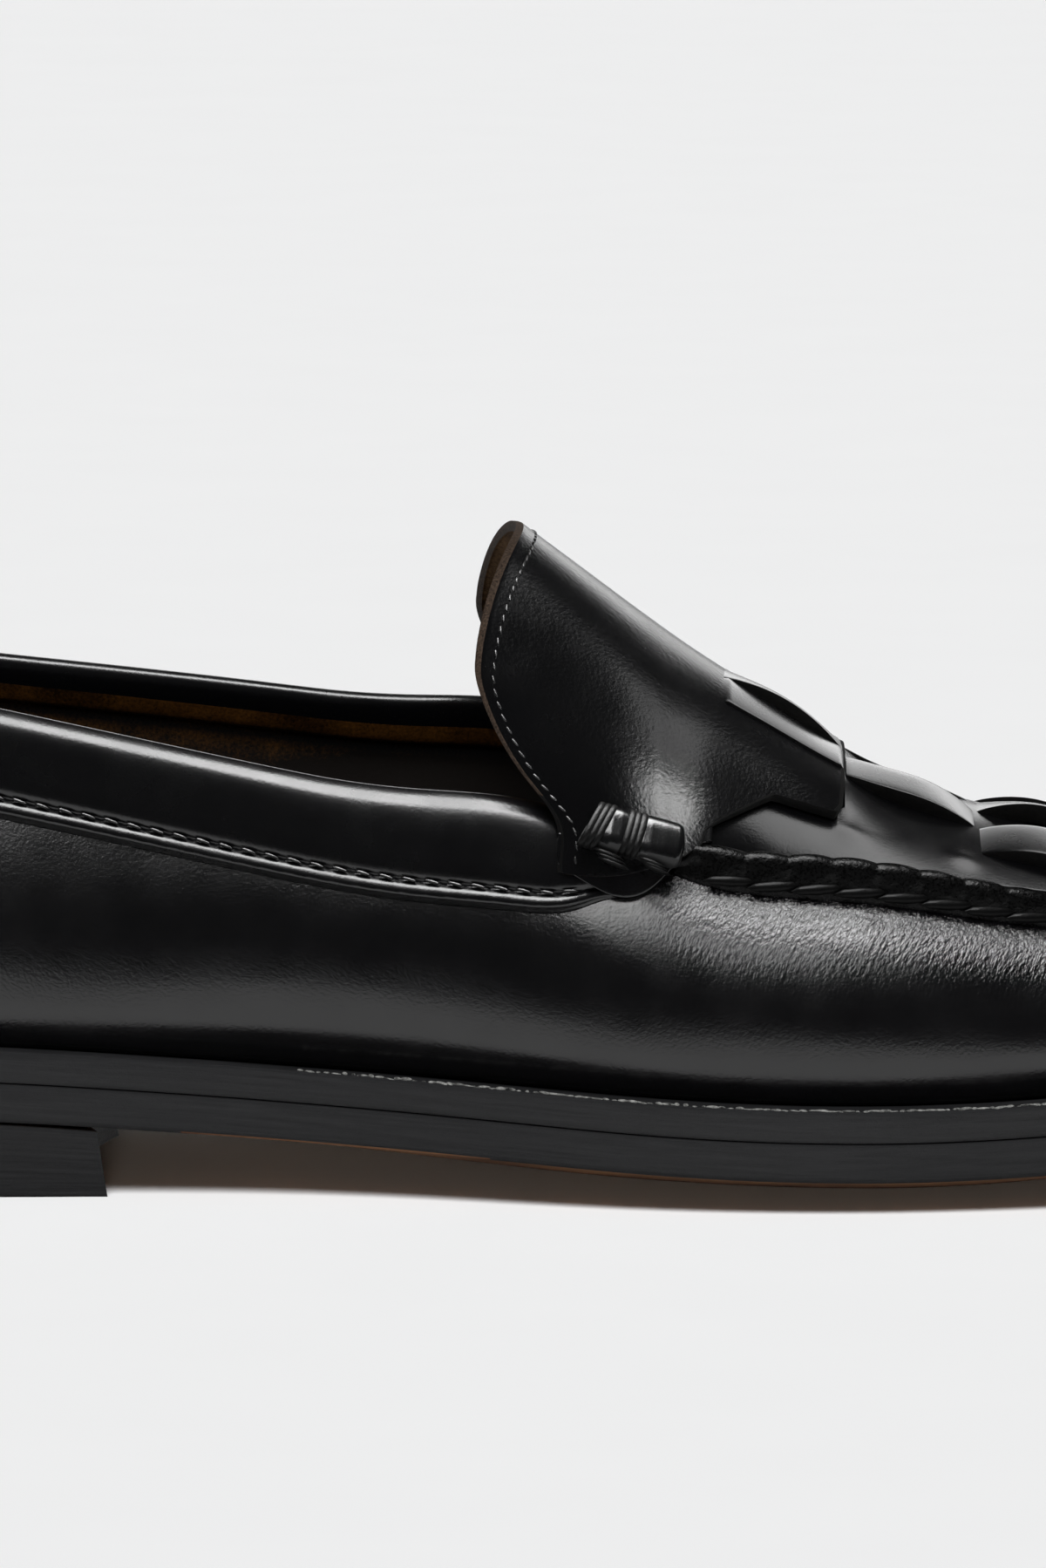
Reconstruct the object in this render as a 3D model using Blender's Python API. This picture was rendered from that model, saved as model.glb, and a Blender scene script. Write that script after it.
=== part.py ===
"""Woven slip-on loafer for the right foot, as separate solids at real size.

Working units are millimetres and become metres when a mesh is made. The pattern is drawn
with +X from heel to toe, +Y to the inner (medial) side and +Z up, x = 0 at the heel's back
and z = 0 on the floor. The finished solids are then centred on the sole's own box.
"""

import math

import bmesh
import bpy
import numpy as np

MM = 0.001

# Driving sizes
SOLE_LENGTH = 297.0
BALL_WIDTH = 99.5
INSTEP_HEIGHT = 110.0
HEEL_LENGTH = 72.0
HEEL_BREAST_RAKE = 1.7
HEEL_BREAST_HOLLOW = 5.0
HEEL_TAPER = 1.2
HEEL_SEAT_INSET = 0.2
HEEL_BREAST_STEPS = 8
OUTSOLE_EDGE = 6.4
MIDSOLE_EDGE = 5.4
INSOLE_THICKNESS = 2.0
UPPER_WALL = 2.2
TONGUE_THICKNESS = 1.8
TONGUE_LIFT = 0.4
BAND_THICKNESS = 1.3
BAND_OUTSIDE = 16.0
BAND_INSIDE = 11.0
BAND_LEAF_POINTS = 3
BAND_SHOULDER_HEIGHT = 0.75
BAND_SHOULDER_REACH = 0.6
SEAM_RIDGE_HEIGHT = 5.5
SEAM_RIDGE_LEAN = 0.8
SEAM_RIDGE_WIDTH = 2.8
STRIP_RISE = 2.6
STRIP_RISE_ON_TONGUE = 1.7
STRIP_EDGES = (5.0, 14.5, 25.0)
STRIP_SIDE = 0.5
WOVEN_ROWS = ((173.5, 194.5), (196.6, 217.5), (217.5, 240.0), (240.0, 258.0))
ROLL_LENGTH = 15.6
ROLL_HEIGHT = 8.2
ROLL_DEPTH = 5.8
ROLL_START = 154.4
ROLL_FAN = 0.955
ROLL_SIDES = 12
EDGE_CHAMFER = 0.6
GAP = 0.3
SHARP_ANGLE = math.radians(40.0)

# The tables below are the pattern at these sizes. The shoe is graded from them.
PATTERN_LENGTH = 297.0
PATTERN_BALL = 99.5
PATTERN_INSTEP = 110.0
ALONG = SOLE_LENGTH / PATTERN_LENGTH
ACROSS = BALL_WIDTH / PATTERN_BALL
UPWARD = INSTEP_HEIGHT / PATTERN_INSTEP

# One row for each rib of the upper, round the shoe from the heel's back by the outer side.
# foot: where the rib leaves the sole. reach: how far the sole stands out beyond it.
# top: the collar, then the moccasin seam. low_out, high_out, high_drop: the rib's two handles.
RIB_COLUMNS = ("foot_x", "foot_y", "reach", "top_x", "top_y", "top_z", "low_out", "high_out", "high_drop")
RIBS = {
    "heel_back": (2.6, 0.0, 2.6, 9.5, 0.0, 88.6, 5.0, 2.5, 22.0),
    "heel_corner_lateral": (12.5, -21.5, 2.4, 16.5, -17.0, 87.4, 5.0, 2.5, 22.0),
    "heel_lateral": (35.0, -30.4, 2.2, 35.0, -24.5, 83.8, 5.0, 3.0, 21.0),
    "counter_lateral": (64.0, -31.2, 2.0, 62.0, -27.0, 78.3, 5.5, 4.0, 20.0),
    "waist_lateral": (96.0, -30.8, 2.2, 94.0, -28.8, 71.6, 7.0, 5.0, 18.0),
    "waist_front_lateral": (126.0, -35.5, 2.8, 123.0, -32.0, 66.7, 6.5, 6.0, 15.0),
    "throat_lateral": (154.0, -43.0, 3.4, 149.0, -36.5, 63.2, 5.0, 6.5, 11.0),
    "seam_back_lateral": (178.0, -46.8, 3.6, 171.0, -38.5, 54.0, 4.0, 7.5, 6.5),
    "ball_lateral": (203.0, -46.8, 3.7, 196.0, -37.5, 50.8, 3.6, 8.5, 5.0),
    "toe_side_lateral": (230.0, -42.5, 3.8, 221.0, -34.0, 46.9, 3.4, 8.5, 4.0),
    "toe_corner_lateral": (257.0, -34.2, 4.0, 246.0, -26.6, 43.4, 3.0, 8.5, 3.0),
    "toe_lateral": (281.0, -17.6, 4.4, 264.0, -13.4, 41.2, 2.6, 9.5, 2.5),
    "toe_tip": (292.0, 6.0, 5.0, 270.5, 5.5, 40.6, 2.4, 10.0, 2.4),
    "toe_medial": (282.0, 29.4, 4.4, 264.5, 23.8, 41.2, 2.6, 9.5, 2.5),
    "toe_corner_medial": (260.0, 40.4, 4.0, 247.0, 33.8, 43.4, 3.0, 7.5, 3.0),
    "toe_side_medial": (234.0, 45.0, 3.8, 223.0, 38.8, 47.2, 3.4, 7.0, 4.0),
    "ball_medial": (208.0, 45.3, 3.7, 197.0, 40.5, 51.8, 3.8, 6.5, 5.5),
    "seam_back_medial": (182.0, 40.5, 3.4, 172.0, 40.0, 56.0, 5.0, 6.0, 8.0),
    "throat_medial": (154.0, 33.0, 3.0, 149.0, 37.0, 69.8, 8.0, 6.0, 13.0),
    "waist_front_medial": (126.0, 28.2, 2.4, 123.0, 32.0, 74.4, 9.0, 5.5, 17.0),
    "waist_medial": (96.0, 27.6, 2.2, 94.0, 28.5, 78.0, 8.5, 5.0, 19.0),
    "counter_medial": (64.0, 30.0, 2.0, 62.0, 26.5, 81.8, 6.0, 4.0, 20.0),
    "heel_medial": (35.0, 30.4, 2.2, 35.0, 24.5, 85.0, 5.0, 3.0, 21.0),
    "heel_corner_medial": (12.5, 21.5, 2.4, 16.5, 17.0, 87.8, 5.0, 2.5, 22.0),
}
THROAT_RIB = list(RIBS).index("throat_lateral")
SEAM_RIB = list(RIBS).index("seam_back_lateral")
TOE_RIB = list(RIBS).index("toe_tip")
BAND_FRONT_SHARE = 0.6
BAND_SEARCH_FROM = 0.3
BAND_SEARCH_STEPS = 60
STEPS_PER_RIB = 4
RIB_ROWS = 8
LOW_HANDLE_HEIGHT = 0.42

# One row for each station of the sole: the lower rim of the outsole, and how far its
# bottom bulges below that rim in the middle. Below the floor the bottom is cut flat.
SOLE_COLUMNS = ("along", "rim", "bulge")
SOLE_STATIONS = (
    (0.0, 13.2, 0.0),
    (54.0, 12.8, 0.0),
    (72.0, 11.7, 0.4),
    (104.0, 9.5, 2.6),
    (141.0, 7.5, 5.0),
    (174.0, 5.9, 6.0),
    (196.0, 5.4, 6.4),
    (213.0, 5.5, 6.4),
    (232.0, 6.2, 5.6),
    (262.0, 8.8, 4.4),
    (297.0, 14.0, 3.0),
)
BOTTOM_STRIPS = 10

# One row for each station of the instep's crown, the highest line of the woven apron.
CROWN_COLUMNS = ("along", "height")
CROWN_STATIONS = (
    (132.0, 113.3),
    (140.0, 107.2),
    (153.0, 97.4),
    (168.6, 86.0),
    (182.0, 77.4),
    (196.0, 68.8),
    (210.0, 63.2),
    (224.0, 59.5),
    (240.0, 55.6),
    (256.0, 50.8),
    (268.0, 46.1),
)

# The instep's side edges behind the seam, where only the tongue covers the foot.
THROAT_COLUMNS = ("along", "lateral_y", "lateral_z", "medial_y", "medial_z")
THROAT_STATIONS = (
    (130.0, -36.8, 60.5, 37.6, 64.5),
    (146.0, -39.9, 57.5, 40.6, 62.0),
    (159.0, -40.7, 57.3, 41.0, 61.0),
)
ARCH_LIMIT = math.radians(75.0)

# One row for each lengthwise line of the tongue, from its middle to its lower side edge.
# fan: share of the arch from the crown to the edge, at the back end and at the front end.
TONGUE_COLUMNS = ("back_fan", "back_x", "front_fan", "front_x", "raised")
TONGUE_LINES = (
    (0.000, 139.2, 0.000, 194.5, 1.0),
    (0.095, 138.9, 0.125, 194.5, 1.0),
    (0.105, 138.8, 0.138, 194.5, 0.0),
    (0.250, 137.4, 0.330, 194.4, 0.0),
    (0.420, 135.2, 0.540, 194.2, 0.0),
    (0.560, 133.6, 0.690, 193.9, 0.0),
    (0.620, 133.2, 0.730, 193.5, 0.0),
    (0.670, 133.5, 0.745, 184.0, 0.0),
    (0.750, 136.4, 0.800, 180.0, 0.0),
    (0.830, 141.6, 0.860, 176.0, 0.0),
    (0.905, 146.9, 0.930, 171.7, 0.0),
    (0.990, 147.4, 1.000, 170.6, 0.0),
    (1.050, 149.6, 1.075, 168.6, 0.0),
)
TONGUE_STEPS = 14

# One row for each ring of a roll: place along it, and its share of the full girth.
ROLL_COLUMNS = ("along", "girth")
ROLL_RINGS = (
    (0.00, 0.55),
    (0.03, 0.82),
    (0.09, 0.80),
    (0.13, 0.94),
    (0.25, 1.00),
    (0.40, 0.94),
    (0.44, 0.80),
    (0.50, 0.80),
    (0.54, 0.94),
    (0.72, 1.00),
    (0.94, 0.94),
    (1.00, 0.62),
)

LEATHER_BLACK = (0.012, 0.012, 0.013)
EDGE_BLACK = (0.022, 0.022, 0.023)
LINING_BROWN = (0.110, 0.060, 0.030)
LEATHER_FINISH = {"roughness": 0.28, "metallic": 0.0}
EDGE_FINISH = {"roughness": 0.55, "metallic": 0.0}
LINING_FINISH = {"roughness": 0.85, "metallic": 0.0}


def clear_scene():
    for item in list(bpy.data.objects):
        bpy.data.objects.remove(item, do_unlink=True)


def column(table, names, name):
    return np.array([row[names.index(name)] for row in table], dtype=float)


def smooth_line(stations, values):
    """Return a natural cubic spline through the values at the stations."""
    gaps = np.diff(stations)
    count = len(stations)
    system = np.zeros((count, count))
    right = np.zeros(count)
    system[0, 0] = system[-1, -1] = 1.0
    for i in range(1, count - 1):
        system[i, i - 1 : i + 2] = gaps[i - 1], 2.0 * (gaps[i - 1] + gaps[i]), gaps[i]
        slopes = (values[i + 1] - values[i]) / gaps[i] - (values[i] - values[i - 1]) / gaps[i - 1]
        right[i] = 6.0 * slopes
    bends = np.linalg.solve(system, right)

    def height(at):
        at = np.asarray(at, dtype=float)
        i = np.clip(np.searchsorted(stations, at) - 1, 0, count - 2)
        left = (stations[i + 1] - at) / gaps[i]
        rise = (at - stations[i]) / gaps[i]
        curved = (left**3 - left) * bends[i] + (rise**3 - rise) * bends[i + 1]
        return left * values[i] + rise * values[i + 1] + curved * gaps[i] ** 2 / 6.0

    return height


def ring_tangents(values):
    """Tangents of a closed, evenly spaced cubic spline through the rows of values."""
    count = len(values)
    ring = np.roll(np.eye(count), 1, axis=1)
    system = 4.0 * np.eye(count) + ring + ring.T
    return np.linalg.solve(system, 3.0 * (np.roll(values, -1, axis=0) - np.roll(values, 1, axis=0)))


RIB_VALUES = np.array(list(RIBS.values()))
RIB_TANGENTS = ring_tangents(RIB_VALUES)


def rib_at(turn):
    """Rib columns at places round the shoe, where whole numbers are the table's rows."""
    turn = np.atleast_1d(np.asarray(turn, dtype=float))
    count = len(RIB_VALUES)
    i = np.floor(turn).astype(int)
    t = (turn - i)[:, None]
    a, b = i % count, (i + 1) % count
    start = RIB_VALUES[a] * (2 * t**3 - 3 * t**2 + 1) + RIB_TANGENTS[a] * (t**3 - 2 * t**2 + t)
    end = RIB_VALUES[b] * (3 * t**2 - 2 * t**3) + RIB_TANGENTS[b] * (t**3 - t**2)
    found = start + end
    return {name: found[:, k] for k, name in enumerate(RIB_COLUMNS)}


def outward(turn, x_name, y_name):
    """Plan normals of the foot line or the top line, pointing away from the shoe."""
    step = 0.02
    ahead = rib_at(np.atleast_1d(turn) + step)
    behind = rib_at(np.atleast_1d(turn) - step)
    dx = (ahead[x_name] - behind[x_name]) * ALONG
    dy = (ahead[y_name] - behind[y_name]) * ACROSS
    length = np.hypot(dx, dy)
    return np.stack([dy / length, -dx / length], axis=1)


sole_along = column(SOLE_STATIONS, SOLE_COLUMNS, "along") * ALONG
rim_height = smooth_line(sole_along, column(SOLE_STATIONS, SOLE_COLUMNS, "rim"))
bottom_bulge = smooth_line(sole_along, column(SOLE_STATIONS, SOLE_COLUMNS, "bulge"))
crown_height = smooth_line(
    column(CROWN_STATIONS, CROWN_COLUMNS, "along") * ALONG,
    column(CROWN_STATIONS, CROWN_COLUMNS, "height") * UPWARD,
)


def sole_top(x):
    return rim_height(x) + OUTSOLE_EDGE + GAP + MIDSOLE_EDGE


def foot_line(turn, stand_out):
    """Plan points of the foot line, moved outwards by stand_out."""
    rib = rib_at(turn)
    side = outward(turn, "foot_x", "foot_y")
    line = np.stack([rib["foot_x"] * ALONG, rib["foot_y"] * ACROSS], axis=1)
    return line + side * np.reshape(stand_out, (-1, 1))


def sole_outline(turn, inset=0.0):
    return foot_line(turn, rib_at(turn)["reach"] - inset)


def wall_point(turn, share):
    """Points on the outer face of the upper's wall. share runs from 0 at the sole to 1 at the top."""
    turn = np.atleast_1d(turn)
    share = np.broadcast_to(np.asarray(share, dtype=float), turn.shape)[:, None]
    rib = rib_at(turn)
    side = np.hstack([outward(turn, "foot_x", "foot_y"), np.zeros((len(turn), 1))])
    up = np.array([0.0, 0.0, 1.0])
    plan = foot_line(turn, 0.0)
    foot = np.hstack([plan, (sole_top(plan[:, 0]) + GAP)[:, None]])
    top = np.stack([rib["top_x"] * ALONG, rib["top_y"] * ACROSS, rib["top_z"] * UPWARD], axis=1)
    rise = (top[:, 2] - foot[:, 2])[:, None]
    low = foot + side * rib["low_out"][:, None] + up * rise * LOW_HANDLE_HEIGHT
    high = top + side * rib["high_out"][:, None] - up * rib["high_drop"][:, None]
    rest = 1.0 - share
    return rest**3 * foot + 3 * rest**2 * share * low + 3 * rest * share**2 * high + share**3 * top


def unit(vectors):
    return vectors / np.linalg.norm(vectors, axis=-1, keepdims=True)


def wall_normal(turn, share):
    """Outward normals of the wall's outer face."""
    step = 0.01
    turn = np.atleast_1d(turn)
    share = np.broadcast_to(np.asarray(share, dtype=float), turn.shape)
    upper = np.minimum(share + step, 1.0)
    lower = np.maximum(share - step, 0.0)
    climb = wall_point(turn, upper) - wall_point(turn, lower)
    round_shoe = wall_point(turn + step, share) - wall_point(turn - step, share)
    return unit(np.cross(round_shoe, climb))


def seam_edge(turn, inward, upward):
    """Points beside the moccasin seam, moved towards the apron and up."""
    rib = rib_at(turn)
    side = outward(turn, "top_x", "top_y")
    plan = np.stack([rib["top_x"] * ALONG, rib["top_y"] * ACROSS], axis=1) - side * inward
    return np.hstack([plan, (rib["top_z"] * UPWARD + upward)[:, None]])


SEAM_STEPS = (TOE_RIB - SEAM_RIB) * STEPS_PER_RIB
LATERAL_SEAM = SEAM_RIB + np.arange(SEAM_STEPS + 1) / STEPS_PER_RIB
MEDIAL_SEAM = 2 * TOE_RIB - LATERAL_SEAM


def apron_edges():
    """The apron's two side edges, on top of the raised seam, from the throat to the toe."""
    lateral = seam_edge(LATERAL_SEAM, SEAM_RIDGE_WIDTH, SEAM_RIDGE_HEIGHT)
    medial = seam_edge(MEDIAL_SEAM, SEAM_RIDGE_WIDTH, SEAM_RIDGE_HEIGHT)
    return lateral, medial


def arch_point(lateral, medial, crown, fan):
    """Point on an arch from one edge over the crown to the other. fan runs from -1 to 1."""
    middle = (lateral + medial) / 2.0
    half = (medial[1] - lateral[1]) / 2.0
    rise = max(crown - middle[2], 0.0)
    sweep = min(2.0 * math.atan2(max(rise, 0.05), half), ARCH_LIMIT)
    angle = fan * sweep
    across = math.sin(angle) / math.sin(sweep)
    lift = (math.cos(angle) - math.cos(sweep)) / (1.0 - math.cos(sweep))
    point = middle + (medial - lateral) / 2.0 * across
    point[2] += rise * lift
    return point


def fan_for_width(lateral, medial, crown, width):
    """The fan share at which the arch is width away from its middle."""
    half = (medial[1] - lateral[1]) / 2.0
    rise = max(crown - (lateral[2] + medial[2]) / 2.0, 0.05)
    sweep = min(2.0 * math.atan2(rise, half), ARCH_LIMIT)
    reach = min(max(width / half, -1.0), 1.0)
    return math.asin(reach * math.sin(sweep)) / sweep


def instep_edges():
    """Splines of the instep's side edges along the shoe: throat stations, then the seam's."""
    lateral, medial = apron_edges()
    seam_rows = range(SEAM_STEPS // 2)
    along = column(THROAT_STATIONS, THROAT_COLUMNS, "along") * ALONG
    lines = []
    for prefix, edge in (("lateral", lateral), ("medial", medial)):
        stations = np.concatenate([along, [edge[k][0] for k in seam_rows]])
        across = column(THROAT_STATIONS, THROAT_COLUMNS, prefix + "_y") * ACROSS
        height = column(THROAT_STATIONS, THROAT_COLUMNS, prefix + "_z") * UPWARD
        lines.append(smooth_line(stations, np.concatenate([across, [edge[k][1] for k in seam_rows]])))
        lines.append(smooth_line(stations, np.concatenate([height, [edge[k][2] for k in seam_rows]])))
    return lines


INSTEP_LINES = instep_edges()


def instep_point(x, fan):
    """Point on the instep's form, which the tongue lies on, at station x."""
    lateral_y, lateral_z, medial_y, medial_z = (float(line(x)) for line in INSTEP_LINES)
    lateral = np.array([x, lateral_y, lateral_z])
    medial = np.array([x, medial_y, medial_z])
    return arch_point(lateral, medial, float(crown_height(x)), fan)


def instep_normal(x, fan):
    step_x, step_fan = 0.5, 0.01
    along = instep_point(x + step_x, fan) - instep_point(x - step_x, fan)
    across = instep_point(x, fan + step_fan) - instep_point(x, fan - step_fan)
    return unit(np.cross(along, across))


def strip_rise(x, row):
    """Height share of a strip that comes up at one slit and goes down at the next."""
    start, end = (slit * ALONG for slit in WOVEN_ROWS[row])
    if not start < x < end:
        return 0.0
    return math.sin(math.pi * (x - start) / (end - start)) ** 0.6


def weave_height(x, column_number):
    """Rise of the apron's strips. Even rows lift the middle and outer columns, odd rows the others."""
    for row in range(1, len(WOVEN_ROWS)):
        if (row + column_number) % 2 == 0:
            rise = strip_rise(x, row)
            if rise > 0.0:
                return STRIP_RISE * rise
    return 0.0


def apron_columns():
    """Across places of the apron's lines, as (width, column number or None), from the middle out."""
    places = [(0.0, 0)]
    for number, edge in enumerate(STRIP_EDGES):
        start = STRIP_EDGES[number - 1] if number else -edge
        if number:
            places.append(((start + edge) / 2.0, number))
        places.append((edge - STRIP_SIDE / 2.0, number))
        places.append((edge + STRIP_SIDE / 2.0, number + 1 if number + 1 < len(STRIP_EDGES) else None))
    return places


def apron_lines():
    """Signed across places from the lateral to the medial side."""
    half = apron_columns()
    return [(-width, number) for width, number in reversed(half[1:])] + half


def apron_grids():
    """Outer and inner points of the woven apron, a row of points for each seam station."""
    lateral, medial = apron_edges()
    lines = apron_lines()
    widest = STRIP_EDGES[-1] + STRIP_SIDE + SEAM_RIDGE_WIDTH
    base, rise = [], []
    for a, b in zip(lateral[:-1], medial[:-1]):
        x = (a[0] + b[0]) / 2.0
        crown = max(float(crown_height(x)), (a[2] + b[2]) / 2.0)
        squeeze = min(1.0, (b[1] - a[1]) / 2.0 / widest)
        fans = [fan_for_width(a, b, crown, width * squeeze) for width, _ in lines]
        base.append([arch_point(a, b, crown, fan) for fan in (-1.0, *fans, 1.0)])
        heights = [0.0 if number is None else weave_height(x, number) for _, number in lines]
        rise.append([0.0, *heights, 0.0])
    base = np.array(base)
    tip = np.broadcast_to(lateral[-1], (1, base.shape[1], 3))
    padded = np.concatenate([base, tip])
    along = np.gradient(padded, axis=0)[:-1]
    across = np.gradient(padded, axis=1)[:-1]
    normals = unit(np.cross(along, across))
    outer = base + normals * np.array(rise)[:, :, None]
    inner = base - normals * UPPER_WALL
    tip_inner = lateral[-1] - np.array([0.0, 0.0, UPPER_WALL])
    return outer, inner, lateral[-1], tip_inner


class Sheet:
    """Collects points and faces of one closed solid, then makes its object."""

    def __init__(self):
        self.points = []
        self.faces = []

    def add(self, points):
        """Store an array of points and return their numbers in the same layout."""
        points = np.asarray(points, dtype=float)
        flat = points.reshape(-1, 3)
        first = len(self.points)
        self.points.extend(flat)
        return np.arange(first, first + len(flat)).reshape(points.shape[:-1])

    def strip(self, one, other, closed=False):
        """Quads between two rows of point numbers."""
        one, other = list(one), list(other)
        if closed:
            one.append(one[0])
            other.append(other[0])
        for k in range(len(one) - 1):
            self.faces.append((one[k], one[k + 1], other[k + 1], other[k]))

    def grid(self, numbers, closed=False):
        for one, other in zip(numbers[:-1], numbers[1:]):
            self.strip(one, other, closed)

    def fan(self, numbers, tip):
        for a, b in zip(numbers[:-1], numbers[1:]):
            self.faces.append((a, b, tip))


def material(name, colour, finish):
    made = bpy.data.materials.new(name)
    made.use_nodes = True
    shader = made.node_tree.nodes["Principled BSDF"]
    shader.inputs["Base Color"].default_value = (*colour, 1.0)
    shader.inputs["Roughness"].default_value = finish["roughness"]
    shader.inputs["Metallic"].default_value = finish["metallic"]
    return made


def box_centre():
    """Plan centre of the sole's box, which becomes the part's origin."""
    fine_step = 0.01
    outline = sole_outline(np.arange(0.0, len(RIBS), fine_step))
    return (outline.min(axis=0) + outline.max(axis=0)) / 2.0


CENTRE = box_centre()


def make_object(name, sheet, colour, finish):
    """Turn a sheet into a named object with outward faces, centred on the sole's box."""
    shape = bmesh.new()
    origin = np.array([*CENTRE, 0.0])
    corners = [shape.verts.new((point - origin) * MM) for point in sheet.points]
    for face in sheet.faces:
        shape.faces.new([corners[k] for k in face])
    bmesh.ops.triangulate(shape, faces=shape.faces)
    bmesh.ops.recalc_face_normals(shape, faces=shape.faces)
    mesh = bpy.data.meshes.new(name)
    shape.to_mesh(mesh)
    shape.free()
    mesh.shade_smooth()
    mesh.set_sharp_from_angle(angle=SHARP_ANGLE)
    mesh.materials.append(material(name + "_finish", colour, finish))
    made = bpy.data.objects.new(name, mesh)
    bpy.context.collection.objects.link(made)
    return made


ALL_TURNS = np.arange(len(RIBS) * STEPS_PER_RIB) / STEPS_PER_RIB
HALF_TURNS = len(ALL_TURNS) // 2


def raised(plan, heights):
    return np.hstack([plan, np.reshape(heights, (-1, 1))])


def plate_lid(sheet, ring):
    """Close a ring of point numbers with strips from the lateral to the medial side."""
    lateral = ring[1:HALF_TURNS]
    medial = ring[:HALF_TURNS:-1]
    sheet.faces.append((ring[0], lateral[0], medial[0]))
    sheet.strip(lateral, medial)
    sheet.faces.append((ring[HALF_TURNS], lateral[-1], medial[-1]))


def layer(name, low, high, inset, colour, finish):
    """A sole layer with chamfered rims between two height functions of x."""
    sheet = Sheet()
    full = sole_outline(ALL_TURNS, inset)
    cut = sole_outline(ALL_TURNS, inset + EDGE_CHAMFER)
    rings = [
        sheet.add(raised(cut, low(cut[:, 0]))),
        sheet.add(raised(full, low(full[:, 0]) + EDGE_CHAMFER)),
        sheet.add(raised(full, high(full[:, 0]) - EDGE_CHAMFER)),
        sheet.add(raised(cut, high(cut[:, 0]))),
    ]
    sheet.grid(rings, closed=True)
    plate_lid(sheet, rings[0])
    plate_lid(sheet, rings[-1])
    return make_object(name, sheet, colour, finish)


def make_midsole():
    def low(x):
        return rim_height(x) + OUTSOLE_EDGE + GAP

    return layer("midsole", low, sole_top, 0.0, EDGE_BLACK, EDGE_FINISH)


def outsole_bottom(lateral, medial):
    """Points across the outsole's rounded bottom at one station, cut flat at the floor."""
    points = []
    for k in range(BOTTOM_STRIPS + 1):
        share = k / BOTTOM_STRIPS
        point = lateral * (1.0 - share) + medial * share
        place = 2.0 * share - 1.0
        point[2] -= float(bottom_bulge(point[0])) * (1.0 - place**2)
        point[2] = max(point[2], 0.0)
        points.append(point)
    return points


def make_outsole():
    sheet = Sheet()
    full = sole_outline(ALL_TURNS)
    cut = sole_outline(ALL_TURNS, EDGE_CHAMFER)
    rim = raised(cut, rim_height(cut[:, 0]))
    rings = [
        sheet.add(rim),
        sheet.add(raised(full, rim_height(full[:, 0]) + EDGE_CHAMFER)),
        sheet.add(raised(full, rim_height(full[:, 0]) + OUTSOLE_EDGE - EDGE_CHAMFER)),
        sheet.add(raised(cut, rim_height(cut[:, 0]) + OUTSOLE_EDGE)),
    ]
    sheet.grid(rings, closed=True)
    plate_lid(sheet, rings[-1])
    stations = []
    for k in range(1, HALF_TURNS):
        points = outsole_bottom(rim[k], rim[-k])
        inside = sheet.add(points[1:-1])
        stations.append([rings[0][k], *inside, rings[0][-k]])
    sheet.grid(stations)
    sheet.fan(stations[0], rings[0][0])
    sheet.fan(stations[-1], rings[0][HALF_TURNS])
    return make_object("outsole", sheet, EDGE_BLACK, EDGE_FINISH)


def heel_plan(inset, breast):
    """Plan of the heel: the sole's outline behind the breast, and the hollow breast line."""
    turns = np.arange(-len(RIBS) / 4.0, len(RIBS) / 4.0, 1.0 / STEPS_PER_RIB)
    outline = sole_outline(turns, inset)
    outline = outline[outline[:, 0] < breast - HEEL_BREAST_HOLLOW]
    lateral_y, medial_y = outline[-1][1], outline[0][1]
    line = []
    for k in range(HEEL_BREAST_STEPS + 1):
        share = k / HEEL_BREAST_STEPS
        place = 2.0 * share - 1.0
        y = lateral_y + (medial_y - lateral_y) * share
        line.append((breast - HEEL_BREAST_HOLLOW * (1.0 - place**2), y))
    return np.vstack([outline, line])


def make_heel():
    sheet = Sheet()
    foot = heel_plan(HEEL_TAPER, HEEL_LENGTH * ALONG)
    seat = heel_plan(HEEL_SEAT_INSET, HEEL_LENGTH * ALONG - HEEL_BREAST_RAKE)
    bottom = sheet.add(raised(foot, np.zeros(len(foot))))
    bulge = np.array([float(bottom_bulge(x)) for x in seat[:, 0]])
    top = sheet.add(raised(seat, rim_height(seat[:, 0]) - bulge - GAP))
    sheet.strip(bottom, top, closed=True)
    for ring in (bottom, top):
        count = len(ring)
        for k in range(count // 2 - 1):
            sheet.faces.append((ring[k], ring[k + 1], ring[count - 2 - k], ring[count - 1 - k]))
        if count % 2:
            middle = count // 2
            sheet.faces.append((ring[middle - 1], ring[middle], ring[middle + 1]))
    return make_object("heel", sheet, EDGE_BLACK, EDGE_FINISH)


def make_insole():
    sheet = Sheet()
    plan = foot_line(ALL_TURNS, -UPPER_WALL - 2.0 * GAP)
    low = sheet.add(raised(plan, sole_top(plan[:, 0]) + GAP))
    high = sheet.add(raised(plan, sole_top(plan[:, 0]) + GAP + INSOLE_THICKNESS))
    sheet.strip(low, high, closed=True)
    plate_lid(sheet, low)
    plate_lid(sheet, high)
    return make_object("insole", sheet, LINING_BROWN, LINING_FINISH)


def ridge_rows(outer_edge, inner_edge, top_outer, top_inner, seam_turns):
    """Outer and inner rows of the raised seam between the wall's top and the apron's edge."""
    crest = seam_edge(seam_turns, SEAM_RIDGE_LEAN, SEAM_RIDGE_HEIGHT - SEAM_RIDGE_LEAN)
    hidden = (top_inner + inner_edge) / 2.0
    return np.stack([top_outer, crest, outer_edge]), np.stack([top_inner, hidden, inner_edge])


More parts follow.
